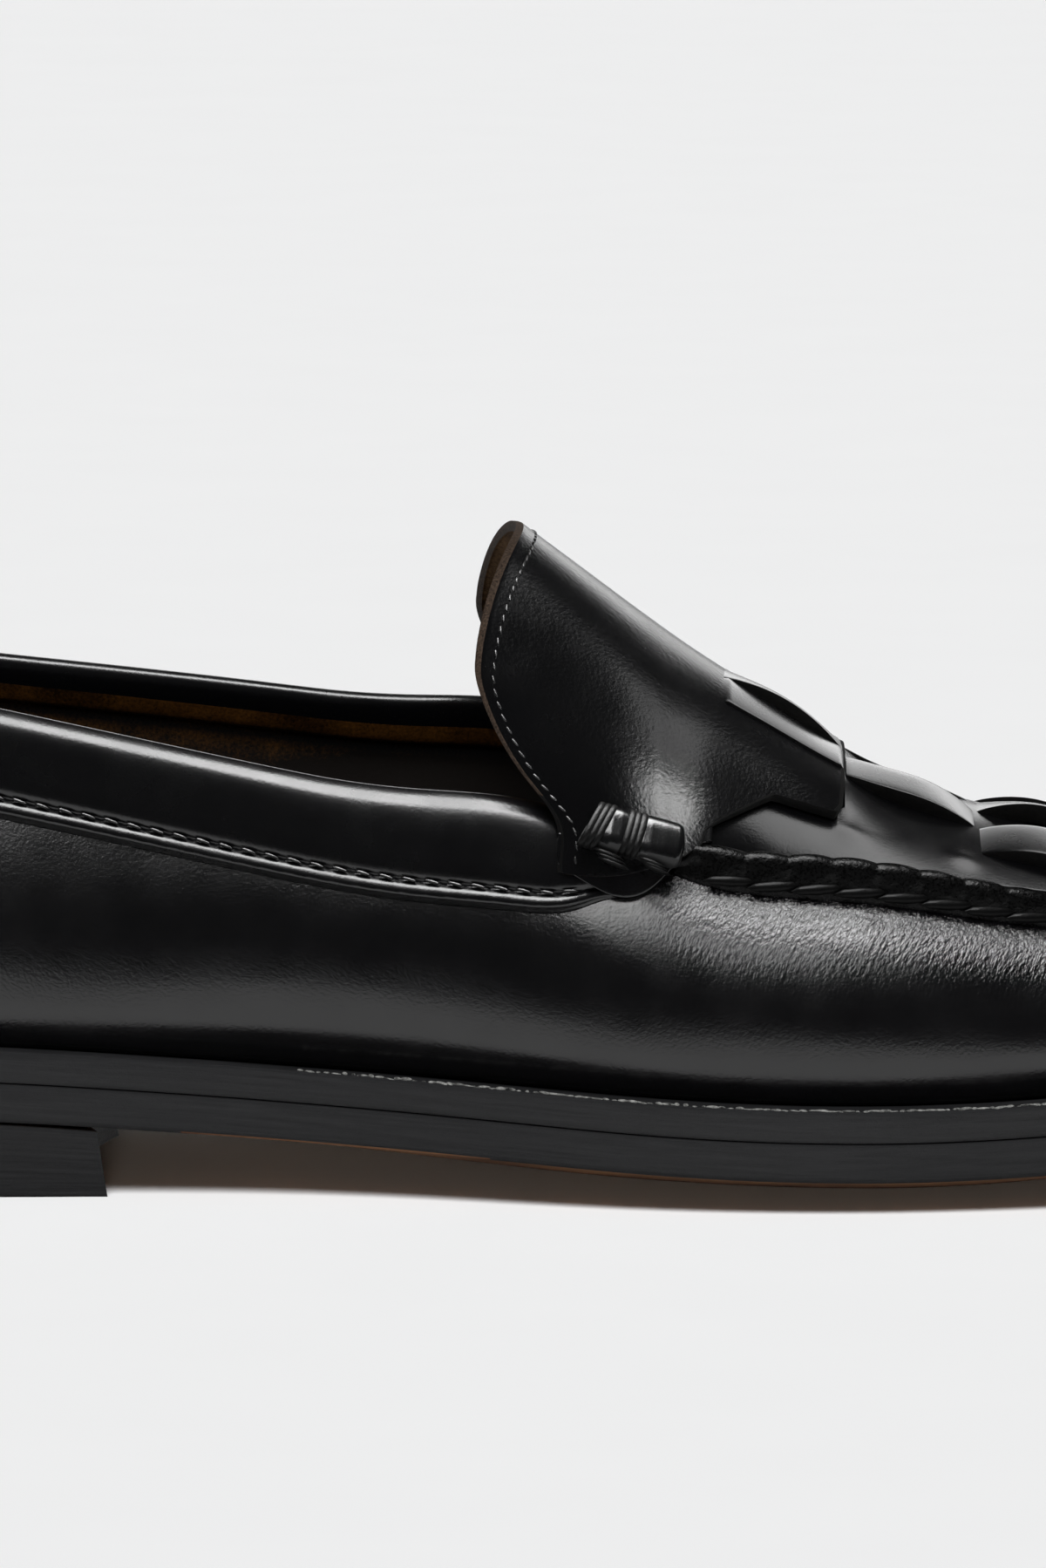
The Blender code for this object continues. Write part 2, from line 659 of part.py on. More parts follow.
def make_upper():
    """Wall, raised seam and woven apron as one hollow solid, open above and below."""
    sheet = Sheet()
    shares = np.linspace(0.0, 1.0, RIB_ROWS + 1)
    outer_wall = np.array([wall_point(ALL_TURNS, share) for share in shares])
    normals = np.array([wall_normal(ALL_TURNS, share) for share in shares])
    inner_wall = outer_wall - normals * UPPER_WALL
    inner_wall[0, :, 2] = outer_wall[0, :, 2]
    outer = sheet.add(outer_wall)
    inner = sheet.add(inner_wall)
    sheet.grid(outer, closed=True)
    sheet.grid(inner, closed=True)
    sheet.strip(outer[0], inner[0], closed=True)

    apron_outer, apron_inner, tip_outer, tip_inner = apron_grids()
    seam = np.arange(SEAM_RIB * STEPS_PER_RIB, (2 * TOE_RIB - SEAM_RIB) * STEPS_PER_RIB + 1)
    edge_outer = np.vstack([apron_outer[:, 0], [tip_outer], apron_outer[::-1, -1]])
    edge_inner = np.vstack([apron_inner[:, 0], [tip_inner], apron_inner[::-1, -1]])
    ridge_outer, ridge_inner = ridge_rows(
        edge_outer, edge_inner, outer_wall[-1][seam], inner_wall[-1][seam], ALL_TURNS[seam]
    )
    outer_rows = [outer[-1][seam], *sheet.add(ridge_outer[1:])]
    inner_rows = [inner[-1][seam], *sheet.add(ridge_inner[1:])]
    sheet.grid(outer_rows)
    sheet.grid(inner_rows)

    def field(points, edge_row):
        last = len(edge_row) // 2
        inside = sheet.add(points[:, 1:-1])
        rows = [[edge_row[k], *inside[k], edge_row[-1 - k]] for k in range(last)]
        sheet.grid(rows)
        sheet.fan(rows[-1], edge_row[last])
        return rows[0]

    throat_outer = field(apron_outer, outer_rows[-1])
    throat_inner = field(apron_inner, inner_rows[-1])
    sheet.strip(throat_outer, throat_inner)
    for end in (0, -1):
        sheet.strip([row[end] for row in outer_rows], [row[end] for row in inner_rows])
    first, last = seam[0], seam[-1]
    collar = np.concatenate([np.arange(last, len(ALL_TURNS)), np.arange(0, first + 1)])
    sheet.strip(outer[-1][collar], inner[-1][collar])
    return make_object("upper", sheet, LEATHER_BLACK, LEATHER_FINISH)


def tongue_grid(lift, strip_height):
    """Points of one face of the tongue, lifted off the instep's form, lateral to medial."""
    half = [dict(zip(TONGUE_COLUMNS, line)) for line in TONGUE_LINES]
    lines = [(-1.0, line) for line in reversed(half[1:])] + [(1.0, line) for line in half]
    rows = []
    for side, line in lines:
        row = []
        for k in range(TONGUE_STEPS + 1):
            share = k / TONGUE_STEPS
            x = (line["back_x"] + (line["front_x"] - line["back_x"]) * share) * ALONG
            fan = side * (line["back_fan"] + (line["front_fan"] - line["back_fan"]) * share)
            height = lift + strip_height * line["raised"] * strip_rise(x, 0)
            row.append(instep_point(x, fan) + instep_normal(x, fan) * height)
        rows.append(row)
    return np.array(rows)


def make_tongue():
    sheet = Sheet()
    top = sheet.add(tongue_grid(TONGUE_LIFT + TONGUE_THICKNESS, STRIP_RISE_ON_TONGUE))
    under = sheet.add(tongue_grid(TONGUE_LIFT, 0.0))
    sheet.grid(top)
    sheet.grid(under)
    for rim in (np.s_[0, :], np.s_[-1, :], np.s_[:, 0], np.s_[:, -1]):
        sheet.strip(top[rim], under[rim])
    return make_object("tongue", sheet, LEATHER_BLACK, LEATHER_FINISH)


def share_below_top(turn, drop):
    """The rib share that lies drop millimetres below the wall's top edge."""
    shares = np.linspace(BAND_SEARCH_FROM, 1.0, BAND_SEARCH_STEPS)
    rib = np.array([wall_point(turn, share)[0] for share in shares])
    lengths = np.concatenate([[0.0], np.cumsum(np.linalg.norm(np.diff(rib, axis=0), axis=1))])
    return float(np.interp(lengths[-1] - drop, lengths, shares))


def band_section(turn):
    """Closed section of the collar band at one place: its shown face, then back along the wall."""
    out_shares = np.linspace(share_below_top(turn, BAND_OUTSIDE), 1.0, BAND_LEAF_POINTS)
    in_shares = np.linspace(share_below_top(turn, BAND_INSIDE), 1.0, BAND_LEAF_POINTS)

    def leaf(shares, lift):
        return [wall_point(turn, share)[0] + wall_normal(turn, share)[0] * lift for share in shares]

    top = wall_point(turn, 1.0)[0]
    across = wall_normal(turn, 1.0)[0] * np.array([1.0, 1.0, 0.0])
    up = np.array([0.0, 0.0, 1.0])
    outside = GAP + BAND_THICKNESS
    inside = -UPPER_WALL - outside
    shoulder = up * (GAP + BAND_THICKNESS * BAND_SHOULDER_HEIGHT)
    rolled_top = [
        top + across * outside * BAND_SHOULDER_REACH + shoulder,
        top - across * UPPER_WALL / 2.0 + up * outside,
        top - across * (UPPER_WALL + outside * BAND_SHOULDER_REACH) + shoulder,
    ]
    over_wall = [
        top + across * GAP + up * GAP,
        top - across * UPPER_WALL / 2.0 + up * GAP,
        top - across * (UPPER_WALL + GAP) + up * GAP,
    ]
    shown_face = [*leaf(out_shares, outside), *rolled_top, *reversed(leaf(in_shares, inside))]
    wall_face = [*leaf(out_shares, GAP), *over_wall, *reversed(leaf(in_shares, -UPPER_WALL - GAP))]
    return np.array([*shown_face, *reversed(wall_face)])


def band_front(side):
    """The band's front end, part of the way along the wall's last facet before the throat."""
    near = band_section(side * (THROAT_RIB - 1.0 / STEPS_PER_RIB))
    throat = band_section(side * THROAT_RIB)
    return near + (throat - near) * BAND_FRONT_SHARE


def make_collar_band():
    sheet = Sheet()
    count = THROAT_RIB * STEPS_PER_RIB
    between = [band_section(turn / STEPS_PER_RIB) for turn in range(1 - count, count)]
    rows = sheet.add(np.array([band_front(-1.0), *between, band_front(1.0)]))
    sheet.grid(rows, closed=True)
    half = rows.shape[1] // 2
    for end in (rows[0], rows[-1]):
        sheet.strip(end[:half], end[: half - 1 : -1])
    return make_object("collar_band", sheet, LEATHER_BLACK, LEATHER_FINISH)


def make_roll(name, side):
    """A wound roll of leather at the foot of the tongue, pinched by two cord wraps."""
    sheet = Sheet()
    rings = []
    places = zip(column(ROLL_RINGS, ROLL_COLUMNS, "along"), column(ROLL_RINGS, ROLL_COLUMNS, "girth"))
    for along, girth in places:
        x = (ROLL_START + ROLL_LENGTH * along) * ALONG
        normal = instep_normal(x, side * ROLL_FAN)
        lift = TONGUE_LIFT + TONGUE_THICKNESS + GAP + ROLL_DEPTH / 2.0
        centre = instep_point(x, side * ROLL_FAN) + normal * lift
        tall = unit(np.cross(normal, np.array([1.0, 0.0, 0.0])))
        ring = []
        for k in range(ROLL_SIDES):
            angle = 2.0 * math.pi * k / ROLL_SIDES
            deep = normal * math.cos(angle) * ROLL_DEPTH / 2.0
            high = tall * math.sin(angle) * ROLL_HEIGHT / 2.0
            ring.append(centre + (deep + high) * girth)
        rings.append(ring)
    rows = sheet.add(np.array(rings))
    sheet.grid(rows, closed=True)
    for end in (rows[0], rows[-1]):
        sheet.faces.append(tuple(end))
    return make_object(name, sheet, LEATHER_BLACK, LEATHER_FINISH)


def main():
    clear_scene()
    make_outsole()
    make_midsole()
    make_heel()
    make_insole()
    make_upper()
    make_tongue()
    make_collar_band()
    make_roll("roll_lateral", -1.0)
    make_roll("roll_medial", 1.0)


main()
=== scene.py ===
"""Looks of the woven loafer: finished pieces, materials, light and camera.

Working units are millimetres on the shoe's own pattern: x from the heel's back to the toe,
y to the inner (medial) side, z up from the floor. A mesh turns them into metres of the frame.
"""

import math

import bmesh
import bpy
import numpy as np
from mathutils import Matrix, Vector


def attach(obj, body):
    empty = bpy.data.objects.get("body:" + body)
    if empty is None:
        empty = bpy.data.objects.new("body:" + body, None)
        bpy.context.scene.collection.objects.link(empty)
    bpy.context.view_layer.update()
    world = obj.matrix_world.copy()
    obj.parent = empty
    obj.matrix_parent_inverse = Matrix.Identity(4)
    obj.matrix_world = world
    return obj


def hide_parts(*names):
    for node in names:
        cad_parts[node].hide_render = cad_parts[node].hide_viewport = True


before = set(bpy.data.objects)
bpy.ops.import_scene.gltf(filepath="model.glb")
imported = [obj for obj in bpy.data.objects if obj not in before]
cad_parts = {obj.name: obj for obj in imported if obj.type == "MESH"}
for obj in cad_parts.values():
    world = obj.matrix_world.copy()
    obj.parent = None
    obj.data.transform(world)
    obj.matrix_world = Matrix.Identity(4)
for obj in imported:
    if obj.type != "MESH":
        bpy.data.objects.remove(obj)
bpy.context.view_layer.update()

MM = 0.001
WELD = 1e-6
SHARP_ANGLE = math.radians(38.0)
RIM_ANGLE = math.radians(50.0)
UP = np.array([0.0, 0.0, 1.0])

# Sizes of the shoe, the same as the solids'
OUTSOLE_EDGE = 6.4
MIDSOLE_EDGE = 5.4
GAP = 0.3
UPPER_WALL = 2.2
TONGUE_LIFT = 0.4
TONGUE_THICKNESS = 1.8
SEAM_HEIGHT = 5.5
SEAM_WIDTH = 2.8
HEEL_LENGTH = 72.0
HEEL_BREAST_RAKE = 1.7
HEEL_BREAST_HOLLOW = 5.0

# Sizes of what the eye sees on it
STRIP_THICKNESS = 3.2
STRIP_RISE = 2.8
STRIP_RISE_INSIDE = 0.9
STRIP_RISE_ON_TONGUE = 1.6
STRIP_FLAT_RISE = 0.4
STRIP_FLAT_RAMP = 0.05
STRIP_RAW_END = 1.1
STRIP_DIVE = 0.3
STRIP_COLUMNS = {"middle": (-5.0, 5.0), "inner": (5.3, 14.5), "outer": (15.2, 25.2)}
STRIP_TILT = {"middle": 0.8, "inner": 0.35, "outer": 0.1}
STRIP_CROWN = 0.12
STRIP_RIM = 0.14
# Where the apron's half width falls below this, the strips are squeezed together
WEAVE_HALF_WIDTH = 31.0
SEAM_STITCH_PITCH = 7.4
# About the middle level of the wave between two stitches
WAVE_MEAN = 0.6
PUCKER_DEPTH = 0.12
PUCKER_REACH = 10.0
PUCKER_RUN_OUT = 0.6
FOOT_TUCK = 2.0
FOOT_TUCK_HEIGHT = 8.0
COLLAR_TRIM = 0.06
# In ribs: how far the trim goes on past the throat, and over what length it fades
TRIM_PAST_THROAT = 0.2
TRIM_RUN_OUT = 0.3
COLLAR_RISE = 1.1
COLLAR_RISE_DEPTH = 8.0
# In ribs: where the collar begins to rise before the throat, and over what length
RISE_BEFORE_THROAT = 1.6
RISE_RUN = 1.2
BAND_LEAN_DEPTH = 6.0
BAND_STITCH_DROP = 13.35
BAND_STITCH_LIFT = 1.6
BAND_STITCH_PITCH = 3.9
BAND_PUFF = 0.16
BEAD_LIFT = 0.6
TONGUE_STITCH_INSET = 3.0
TONGUE_STITCH_LIFT = 0.02
# The tongue's lines between which it is stitched
TONGUE_STITCH_LINES = (0.02, 10.6)
TONGUE_EDGE = 0.95
TONGUE_RIM = 0.2
TONGUE_WEAR = 0.6
TONGUE_RAW_ABOVE = 68.5
TONGUE_STITCH_PITCH = 2.3
WELT_CRUMB_PITCH = 1.5
WELT_START = 4.25
# Least and most of a crumb's length, width, height, lift and slant
CRUMB_LEAST = (0.7, 0.4, 0.3, -0.12, -0.4)
CRUMB_MOST = (2.8, 0.75, 0.75, 0.12, 0.3)
CRUMB_SEED = 5
WELT_INSET = 0.6
# Length, width and height of one stitch, and how far it is turned on the surface
BAND_STITCH = ((2.9, 0.62, 0.62), -0.16)
TONGUE_STITCH = ((1.9, 0.5, 0.5), 0.2)
SEAM_STITCH = ((9.2, 2.0, 1.5), 0.13)
# The seam cord's place on the ridge's section, and its upward lean
CORD_INWARD = -0.5
CORD_UPWARD = 1.3
CORD_LEAN = 0.35

# One row for each rib of the upper, round the shoe from the heel's back by the outer side.
# foot: where the rib leaves the sole. reach: how far the sole stands out beyond it.
# top: the collar, then the moccasin seam. low_out, high_out, high_drop: the rib's two handles.
RIB_COLUMNS = ("foot_x", "foot_y", "reach", "top_x", "top_y", "top_z", "low_out", "high_out", "high_drop")
RIBS = {
    "heel_back": (2.6, 0.0, 2.6, 9.5, 0.0, 88.6, 5.0, 2.5, 22.0),
    "heel_corner_lateral": (12.5, -21.5, 2.4, 16.5, -17.0, 87.4, 5.0, 2.5, 22.0),
    "heel_lateral": (35.0, -30.4, 2.2, 35.0, -24.5, 83.8, 5.0, 3.0, 21.0),
    "counter_lateral": (64.0, -31.2, 2.0, 62.0, -27.0, 78.3, 5.5, 4.0, 20.0),
    "waist_lateral": (96.0, -30.8, 2.2, 94.0, -28.8, 71.6, 7.0, 5.0, 18.0),
    "waist_front_lateral": (126.0, -35.5, 2.8, 123.0, -32.0, 66.7, 6.5, 6.0, 15.0),
    "throat_lateral": (154.0, -43.0, 3.4, 149.0, -36.5, 63.2, 5.0, 6.5, 11.0),
    "seam_back_lateral": (178.0, -46.8, 3.6, 171.0, -38.5, 54.0, 4.0, 7.5, 6.5),
    "ball_lateral": (203.0, -46.8, 3.7, 196.0, -37.5, 50.8, 3.6, 8.5, 5.0),
    "toe_side_lateral": (230.0, -42.5, 3.8, 221.0, -34.0, 46.9, 3.4, 8.5, 4.0),
    "toe_corner_lateral": (257.0, -34.2, 4.0, 246.0, -26.6, 43.4, 3.0, 8.5, 3.0),
    "toe_lateral": (281.0, -17.6, 4.4, 264.0, -13.4, 41.2, 2.6, 9.5, 2.5),
    "toe_tip": (292.0, 6.0, 5.0, 270.5, 5.5, 40.6, 2.4, 10.0, 2.4),
    "toe_medial": (282.0, 29.4, 4.4, 264.5, 23.8, 41.2, 2.6, 9.5, 2.5),
    "toe_corner_medial": (260.0, 40.4, 4.0, 247.0, 33.8, 43.4, 3.0, 7.5, 3.0),
    "toe_side_medial": (234.0, 45.0, 3.8, 223.0, 38.8, 47.2, 3.4, 7.0, 4.0),
    "ball_medial": (208.0, 45.3, 3.7, 197.0, 40.5, 51.8, 3.8, 6.5, 5.5),
    "seam_back_medial": (182.0, 40.5, 3.4, 172.0, 40.0, 56.0, 5.0, 6.0, 8.0),
    "throat_medial": (154.0, 33.0, 3.0, 149.0, 37.0, 69.8, 8.0, 6.0, 13.0),
    "waist_front_medial": (126.0, 28.2, 2.4, 123.0, 32.0, 74.4, 9.0, 5.5, 17.0),
    "waist_medial": (96.0, 27.6, 2.2, 94.0, 28.5, 78.0, 8.5, 5.0, 19.0),
    "counter_medial": (64.0, 30.0, 2.0, 62.0, 26.5, 81.8, 6.0, 4.0, 20.0),
    "heel_medial": (35.0, 30.4, 2.2, 35.0, 24.5, 85.0, 5.0, 3.0, 21.0),
    "heel_corner_medial": (12.5, 21.5, 2.4, 16.5, 17.0, 87.8, 5.0, 2.5, 22.0),
}
RIB_COUNT = len(RIBS)
THROAT_RIB = list(RIBS).index("throat_lateral")
SEAM_RIB = list(RIBS).index("seam_back_lateral")
TOE_RIB = list(RIBS).index("toe_tip")
SEAM_END_RIB = list(RIBS).index("seam_back_medial")
LOW_HANDLE_HEIGHT = 0.42

# Place along the shoe, height of the outsole's lower rim, and bulge of its bottom below that rim
SOLE_STATIONS = (
    (0.0, 13.2, 0.0),
    (54.0, 12.8, 0.0),
    (72.0, 11.7, 0.4),
    (104.0, 9.5, 2.6),
    (141.0, 7.5, 5.0),
    (174.0, 5.9, 6.0),
    (196.0, 5.4, 6.4),
    (213.0, 5.5, 6.4),
    (232.0, 6.2, 5.6),
    (262.0, 8.8, 4.4),
    (297.0, 14.0, 3.0),
)

# The instep's crown, the highest line of the woven apron: place along the shoe, and height
CROWN_STATIONS = (
    (132.0, 113.3),
    (140.0, 107.2),
    (153.0, 97.4),
    (168.6, 86.0),
    (182.0, 77.4),
    (196.0, 68.8),
    (210.0, 63.2),
    (224.0, 59.5),
    (240.0, 55.6),
    (256.0, 50.8),
    (268.0, 46.1),
)

# The instep's side edges behind the seam, where only the tongue covers the foot
THROAT_LATERAL = ((130.0, -36.8, 60.5), (146.0, -39.9, 57.5), (159.0, -40.7, 57.3))
THROAT_MEDIAL = ((130.0, 37.6, 64.5), (146.0, 40.6, 62.0), (159.0, 41.0, 61.0))
ARCH_LIMIT = math.radians(75.0)

# One row for each lengthwise line of the tongue, from its middle to its lower side edge:
# fan and x of its back end, then of its front end. A fan is a share of the arch from crown to edge.
TONGUE_LINES = (
    (0.000, 139.2, 0.000, 194.5),
    (0.100, 138.85, 0.132, 194.5),
    (0.250, 137.4, 0.330, 194.4),
    (0.420, 135.2, 0.540, 194.2),
    (0.560, 133.6, 0.690, 193.9),
    (0.620, 133.2, 0.740, 193.0),
    (0.670, 133.5, 0.731, 182.7),
    (0.750, 136.4, 0.801, 179.0),
    (0.830, 141.6, 0.873, 175.2),
    (0.905, 146.9, 0.945, 171.4),
    (0.990, 147.3, 1.000, 170.6),
    (1.018, 147.4, 1.03, 167.6),
)

# The woven rows along the apron: from slit to slit, and the columns that lie on top there
WOVEN_ROWS = (
    {"start": 173.5, "end": 194.5, "over": ("middle",)},
    {"start": 194.9, "end": 217.5, "over": ("inner",)},
    {"start": 217.5, "end": 240.0, "over": ("middle", "outer")},
    {"start": 240.0, "end": 258.0, "over": ("inner",)},
)

# The collar band's section: drop below the wall's top edge, lift off the wall's outer face
BAND_SECTION = (
    (16.3, 0.45),
    (16.4, 1.0),
    (16.15, 1.65),
    (15.6, 2.1),
    (14.9, 2.0),
    (14.1, 1.5),
    (13.35, 0.95),
    (12.6, 1.55),
    (11.0, 2.05),
    (8.5, 2.2),
    (6.0, 2.25),
    (4.0, 2.25),
    (2.4, 2.1),
    (1.0, 1.7),
    (-0.1, 0.9),
    (-0.95, -0.3),
    (-1.4, -1.6),
    (-1.2, -2.9),
    (-0.4, -3.8),
    (1.0, -4.2),
    (2.6, -4.25),
    (4.4, -4.1),
    (5.8, -3.8),
    (6.1, -3.1),
    (5.6, -2.55),
    (4.0, -2.4),
    (2.8, -2.3),
    (2.2, -1.2),
    (3.0, 0.15),
    (6.0, 0.3),
    (11.0, 0.3),
)

# Points of the section between which the band's inner flap is covered by the lining
BAND_LINED = (20.4, 25.0)

# The raised seam's section: inward from the seam line, and up from it
RIDGE_SECTION = (
    (0.2, -0.9),
    (-0.45, 0.3),
    (-0.5, 1.8),
    (-0.45, 3.2),
    (-0.3, 4.6),
    (0.3, 5.5),
    (1.4, 5.8),
    (2.5, 5.65),
    (3.2, 5.2),
    (3.7, 4.6),
)


def smooth_line(stations, values):
    """Return a natural cubic spline through the values at the stations."""
    stations = np.asarray(stations, dtype=float)
    values = np.asarray(values, dtype=float)
    gaps = np.diff(stations)
    count = len(stations)
    system = np.zeros((count, count))
    right = np.zeros(count)
    system[0, 0] = system[-1, -1] = 1.0
    for i in range(1, count - 1):
        system[i, i - 1 : i + 2] = gaps[i - 1], 2.0 * (gaps[i - 1] + gaps[i]), gaps[i]
        slopes = (values[i + 1] - values[i]) / gaps[i] - (values[i] - values[i - 1]) / gaps[i - 1]
        right[i] = 6.0 * slopes
    bends = np.linalg.solve(system, right)

    def height(at):
        at = np.asarray(at, dtype=float)
        i = np.clip(np.searchsorted(stations, at) - 1, 0, count - 2)
        left = (stations[i + 1] - at) / gaps[i]
        rise = (at - stations[i]) / gaps[i]
        curved = (left**3 - left) * bends[i] + (rise**3 - rise) * bends[i + 1]
        return left * values[i] + rise * values[i + 1] + curved * gaps[i] ** 2 / 6.0

    return height


def ring_line(values):
    """Return a closed cubic spline through evenly spaced rows of values."""
    values = np.asarray(values, dtype=float)
    count = len(values)
    ring = np.roll(np.eye(count), 1, axis=1)
    system = 4.0 * np.eye(count) + ring + ring.T
    tangents = np.linalg.solve(system, 3.0 * (np.roll(values, -1, axis=0) - np.roll(values, 1, axis=0)))

    def at(turn):
        turn = np.asarray(turn, dtype=float)
        i = np.floor(turn).astype(int)
        t = (turn - i)[:, None]
        a, b = i % count, (i + 1) % count
        start = values[a] * (2 * t**3 - 3 * t**2 + 1) + tangents[a] * (t**3 - 2 * t**2 + t)
        return start + values[b] * (3 * t**2 - 2 * t**3) + tangents[b] * (t**3 - t**2)

    return at


rib_values = ring_line(list(RIBS.values()))
sole_along, sole_rim, sole_bulge = np.array(SOLE_STATIONS).T
rim_height = smooth_line(sole_along, sole_rim)
bottom_bulge = smooth_line(sole_along, sole_bulge)
crown_height = smooth_line(*np.array(CROWN_STATIONS).T)


def rib_at(turn):
    found = rib_values(turn)
    return {name: found[:, k] for k, name in enumerate(RIB_COLUMNS)}


def unit(vectors):
    return vectors / np.linalg.norm(vectors, axis=-1, keepdims=True)


def outward(turn, x_name, y_name):
    """Plan normals of the foot line or the top line, pointing away from the shoe."""
    step = 0.02
    ahead = rib_at(turn + step)
    behind = rib_at(turn - step)
    dx = ahead[x_name] - behind[x_name]
    dy = ahead[y_name] - behind[y_name]
    return unit(np.stack([dy, -dx], axis=1))


def sole_top(x):
    return rim_height(x) + OUTSOLE_EDGE + GAP + MIDSOLE_EDGE


def foot_line(turn, stand_out):
    """Plan points of the foot line, moved outwards by stand_out."""
    rib = rib_at(turn)
    line = np.stack([rib["foot_x"], rib["foot_y"]], axis=1)
    return line + outward(turn, "foot_x", "foot_y") * np.reshape(stand_out, (-1, 1))


def sole_outline(turn, inset=0.0):
    return foot_line(turn, rib_at(turn)["reach"] - inset)


def frame_origin():
    """The plan centre of the sole's box, on the floor."""
    fine_step = 0.01
    outline = sole_outline(np.arange(0.0, RIB_COUNT, fine_step))
    return np.array([*(outline.min(axis=0) + outline.max(axis=0)) / 2.0, 0.0])


ORIGIN = frame_origin()


def raised(plan, heights):
    return np.hstack([plan, np.reshape(heights, (-1, 1))])


def wall_point(turn, share):
    """Points on the outer face of the upper's wall. share runs from 0 at the sole to 1 at the top."""
    share = np.asarray(share, dtype=float)[:, None]
    rib = rib_at(turn)
    side = raised(outward(turn, "foot_x", "foot_y"), np.zeros(len(turn)))
    plan = foot_line(turn, np.zeros(len(turn)))
    foot = raised(plan, sole_top(plan[:, 0]) + GAP)
    top = np.stack([rib["top_x"], rib["top_y"], rib["top_z"]], axis=1)
    rise = (top[:, 2] - foot[:, 2])[:, None]
    low = foot + side * rib["low_out"][:, None] + UP * rise * LOW_HANDLE_HEIGHT
    high = top + side * rib["high_out"][:, None] - UP * rib["high_drop"][:, None]
    rest = 1.0 - share
    return rest**3 * foot + 3 * rest**2 * share * low + 3 * rest * share**2 * high + share**3 * top


def wall_normal(turn, share):
    """Outward normals of the wall's outer face."""
    step = 0.01
    upper = np.minimum(share + step, 1.0)
    lower = np.maximum(share - step, 0.0)
    climb = wall_point(turn, upper) - wall_point(turn, lower)
    round_shoe = wall_point(turn + step, share) - wall_point(turn - step, share)
    return unit(np.cross(round_shoe, climb))


def seam_edge(turn, inward, upward):
    """Points beside the moccasin seam, moved towards the apron and up."""
    rib = rib_at(turn)
    side = outward(turn, "top_x", "top_y")
    plan = np.stack([rib["top_x"], rib["top_y"]], axis=1) - side * np.reshape(inward, (-1, 1))
    return raised(plan, rib["top_z"] + upward)


def run_lengths(points):
    return np.concatenate([[0.0], np.cumsum(np.linalg.norm(np.diff(points, axis=0), axis=1))])


SEAM_SAMPLES = np.linspace(SEAM_RIB, SEAM_END_RIB, 400)
SEAM_LENGTHS = run_lengths(seam_edge(SEAM_SAMPLES, 0.0, 0.0))


def seam_length(turn):
    """Distance along the seam from its lateral end."""
    return np.interp(turn, SEAM_SAMPLES, SEAM_LENGTHS)


def puffs(length, pitch):
    """Round swellings along a line that fall to 0 at every pitch."""
    return np.abs(np.sin(math.pi * length / pitch)) ** 0.7


def stitch_wave(turn):
    """1 between two stitches of the moccasin seam and 0 at each stitch."""
    return puffs(seam_length(turn), SEAM_STITCH_PITCH)


def arch_point(lateral, medial, crown, fan):
    """Points on arches from one edge over the crown to the other. fan runs from -1 to 1."""
    middle = (lateral + medial) / 2.0
    half = (medial[:, 1] - lateral[:, 1]) / 2.0
    rise = np.maximum(crown - middle[:, 2], 0.0)
    sweep = np.minimum(2.0 * np.arctan2(np.maximum(rise, 0.05), np.maximum(half, 0.01)), ARCH_LIMIT)
    angle = fan * sweep
    across = np.sin(angle) / np.sin(sweep)
    lift = (np.cos(angle) - np.cos(sweep)) / (1.0 - np.cos(sweep))
    point = middle + (medial - lateral) / 2.0 * across[:, None]
    point[:, 2] += rise * lift
    return point


SEAM_KNOTS = np.arange(SEAM_RIB, TOE_RIB - 0.5, 0.25)


def instep_edge(throat, turns):
    """Splines of one of the instep's side edges along the shoe: the throat's points, then the seam's."""
    along, across, height = np.vstack([throat, seam_edge(turns, SEAM_WIDTH, SEAM_HEIGHT)]).T
    return smooth_line(along, across), smooth_line(along, height)


lateral_y, lateral_z = instep_edge(THROAT_LATERAL, SEAM_KNOTS)
medial_y, medial_z = instep_edge(THROAT_MEDIAL, 2 * TOE_RIB - SEAM_KNOTS)


def instep_point(x, fan):
    """Points on the instep's form, which the tongue and the strips lie on, at stations x."""
    lateral = np.stack([x, lateral_y(x), lateral_z(x)], axis=1)
    medial = np.stack([x, medial_y(x), medial_z(x)], axis=1)
    return arch_point(lateral, medial, crown_height(x), fan)


def instep_normal(x, fan):
    step_x, step_fan = 0.5, 0.01
    along = instep_point(x + step_x, fan) - instep_point(x - step_x, fan)
    across = instep_point(x, fan + step_fan) - instep_point(x, fan - step_fan)
    return unit(np.cross(along, across))


def fan_for_width(x, width):
    """The fan share at which the instep is width away from its middle line."""
    half = (medial_y(x) - lateral_y(x)) / 2.0
    rise = np.maximum(crown_height(x) - (lateral_z(x) + medial_z(x)) / 2.0, 0.05)
    sweep = np.minimum(2.0 * np.arctan2(rise, half), ARCH_LIMIT)
    reach = np.clip(width / half, -1.0, 1.0)
    return np.arcsin(reach * np.sin(sweep)) / sweep


def add_grid(shape, columns, rows, place, stretch=(1.0, 1.0)):
    """Add a grid whose corners are placed by place(u, v). Its UV map is stretched to millimetres."""
    layer = shape.loops.layers.uv.verify()
    made = bmesh.ops.create_grid(shape, x_segments=columns, y_segments=rows, size=0.5, calc_uvs=True)
    corners = made["verts"]
    spots = np.array([corner.co[:2] for corner in corners]) + 0.5
    points = (place(spots[:, 0], spots[:, 1]) - ORIGIN) * MM
    for corner, point in zip(corners, points):
        corner.co = point
    faces = {face for corner in corners for face in corner.link_faces}
    for face in faces:
        for loop in face.loops:
            loop[layer].uv = (loop[layer].uv[0] * stretch[0], loop[layer].uv[1] * stretch[1])
    return corners, faces


def weld(shape):
    bmesh.ops.remove_doubles(shape, verts=shape.verts, dist=WELD)


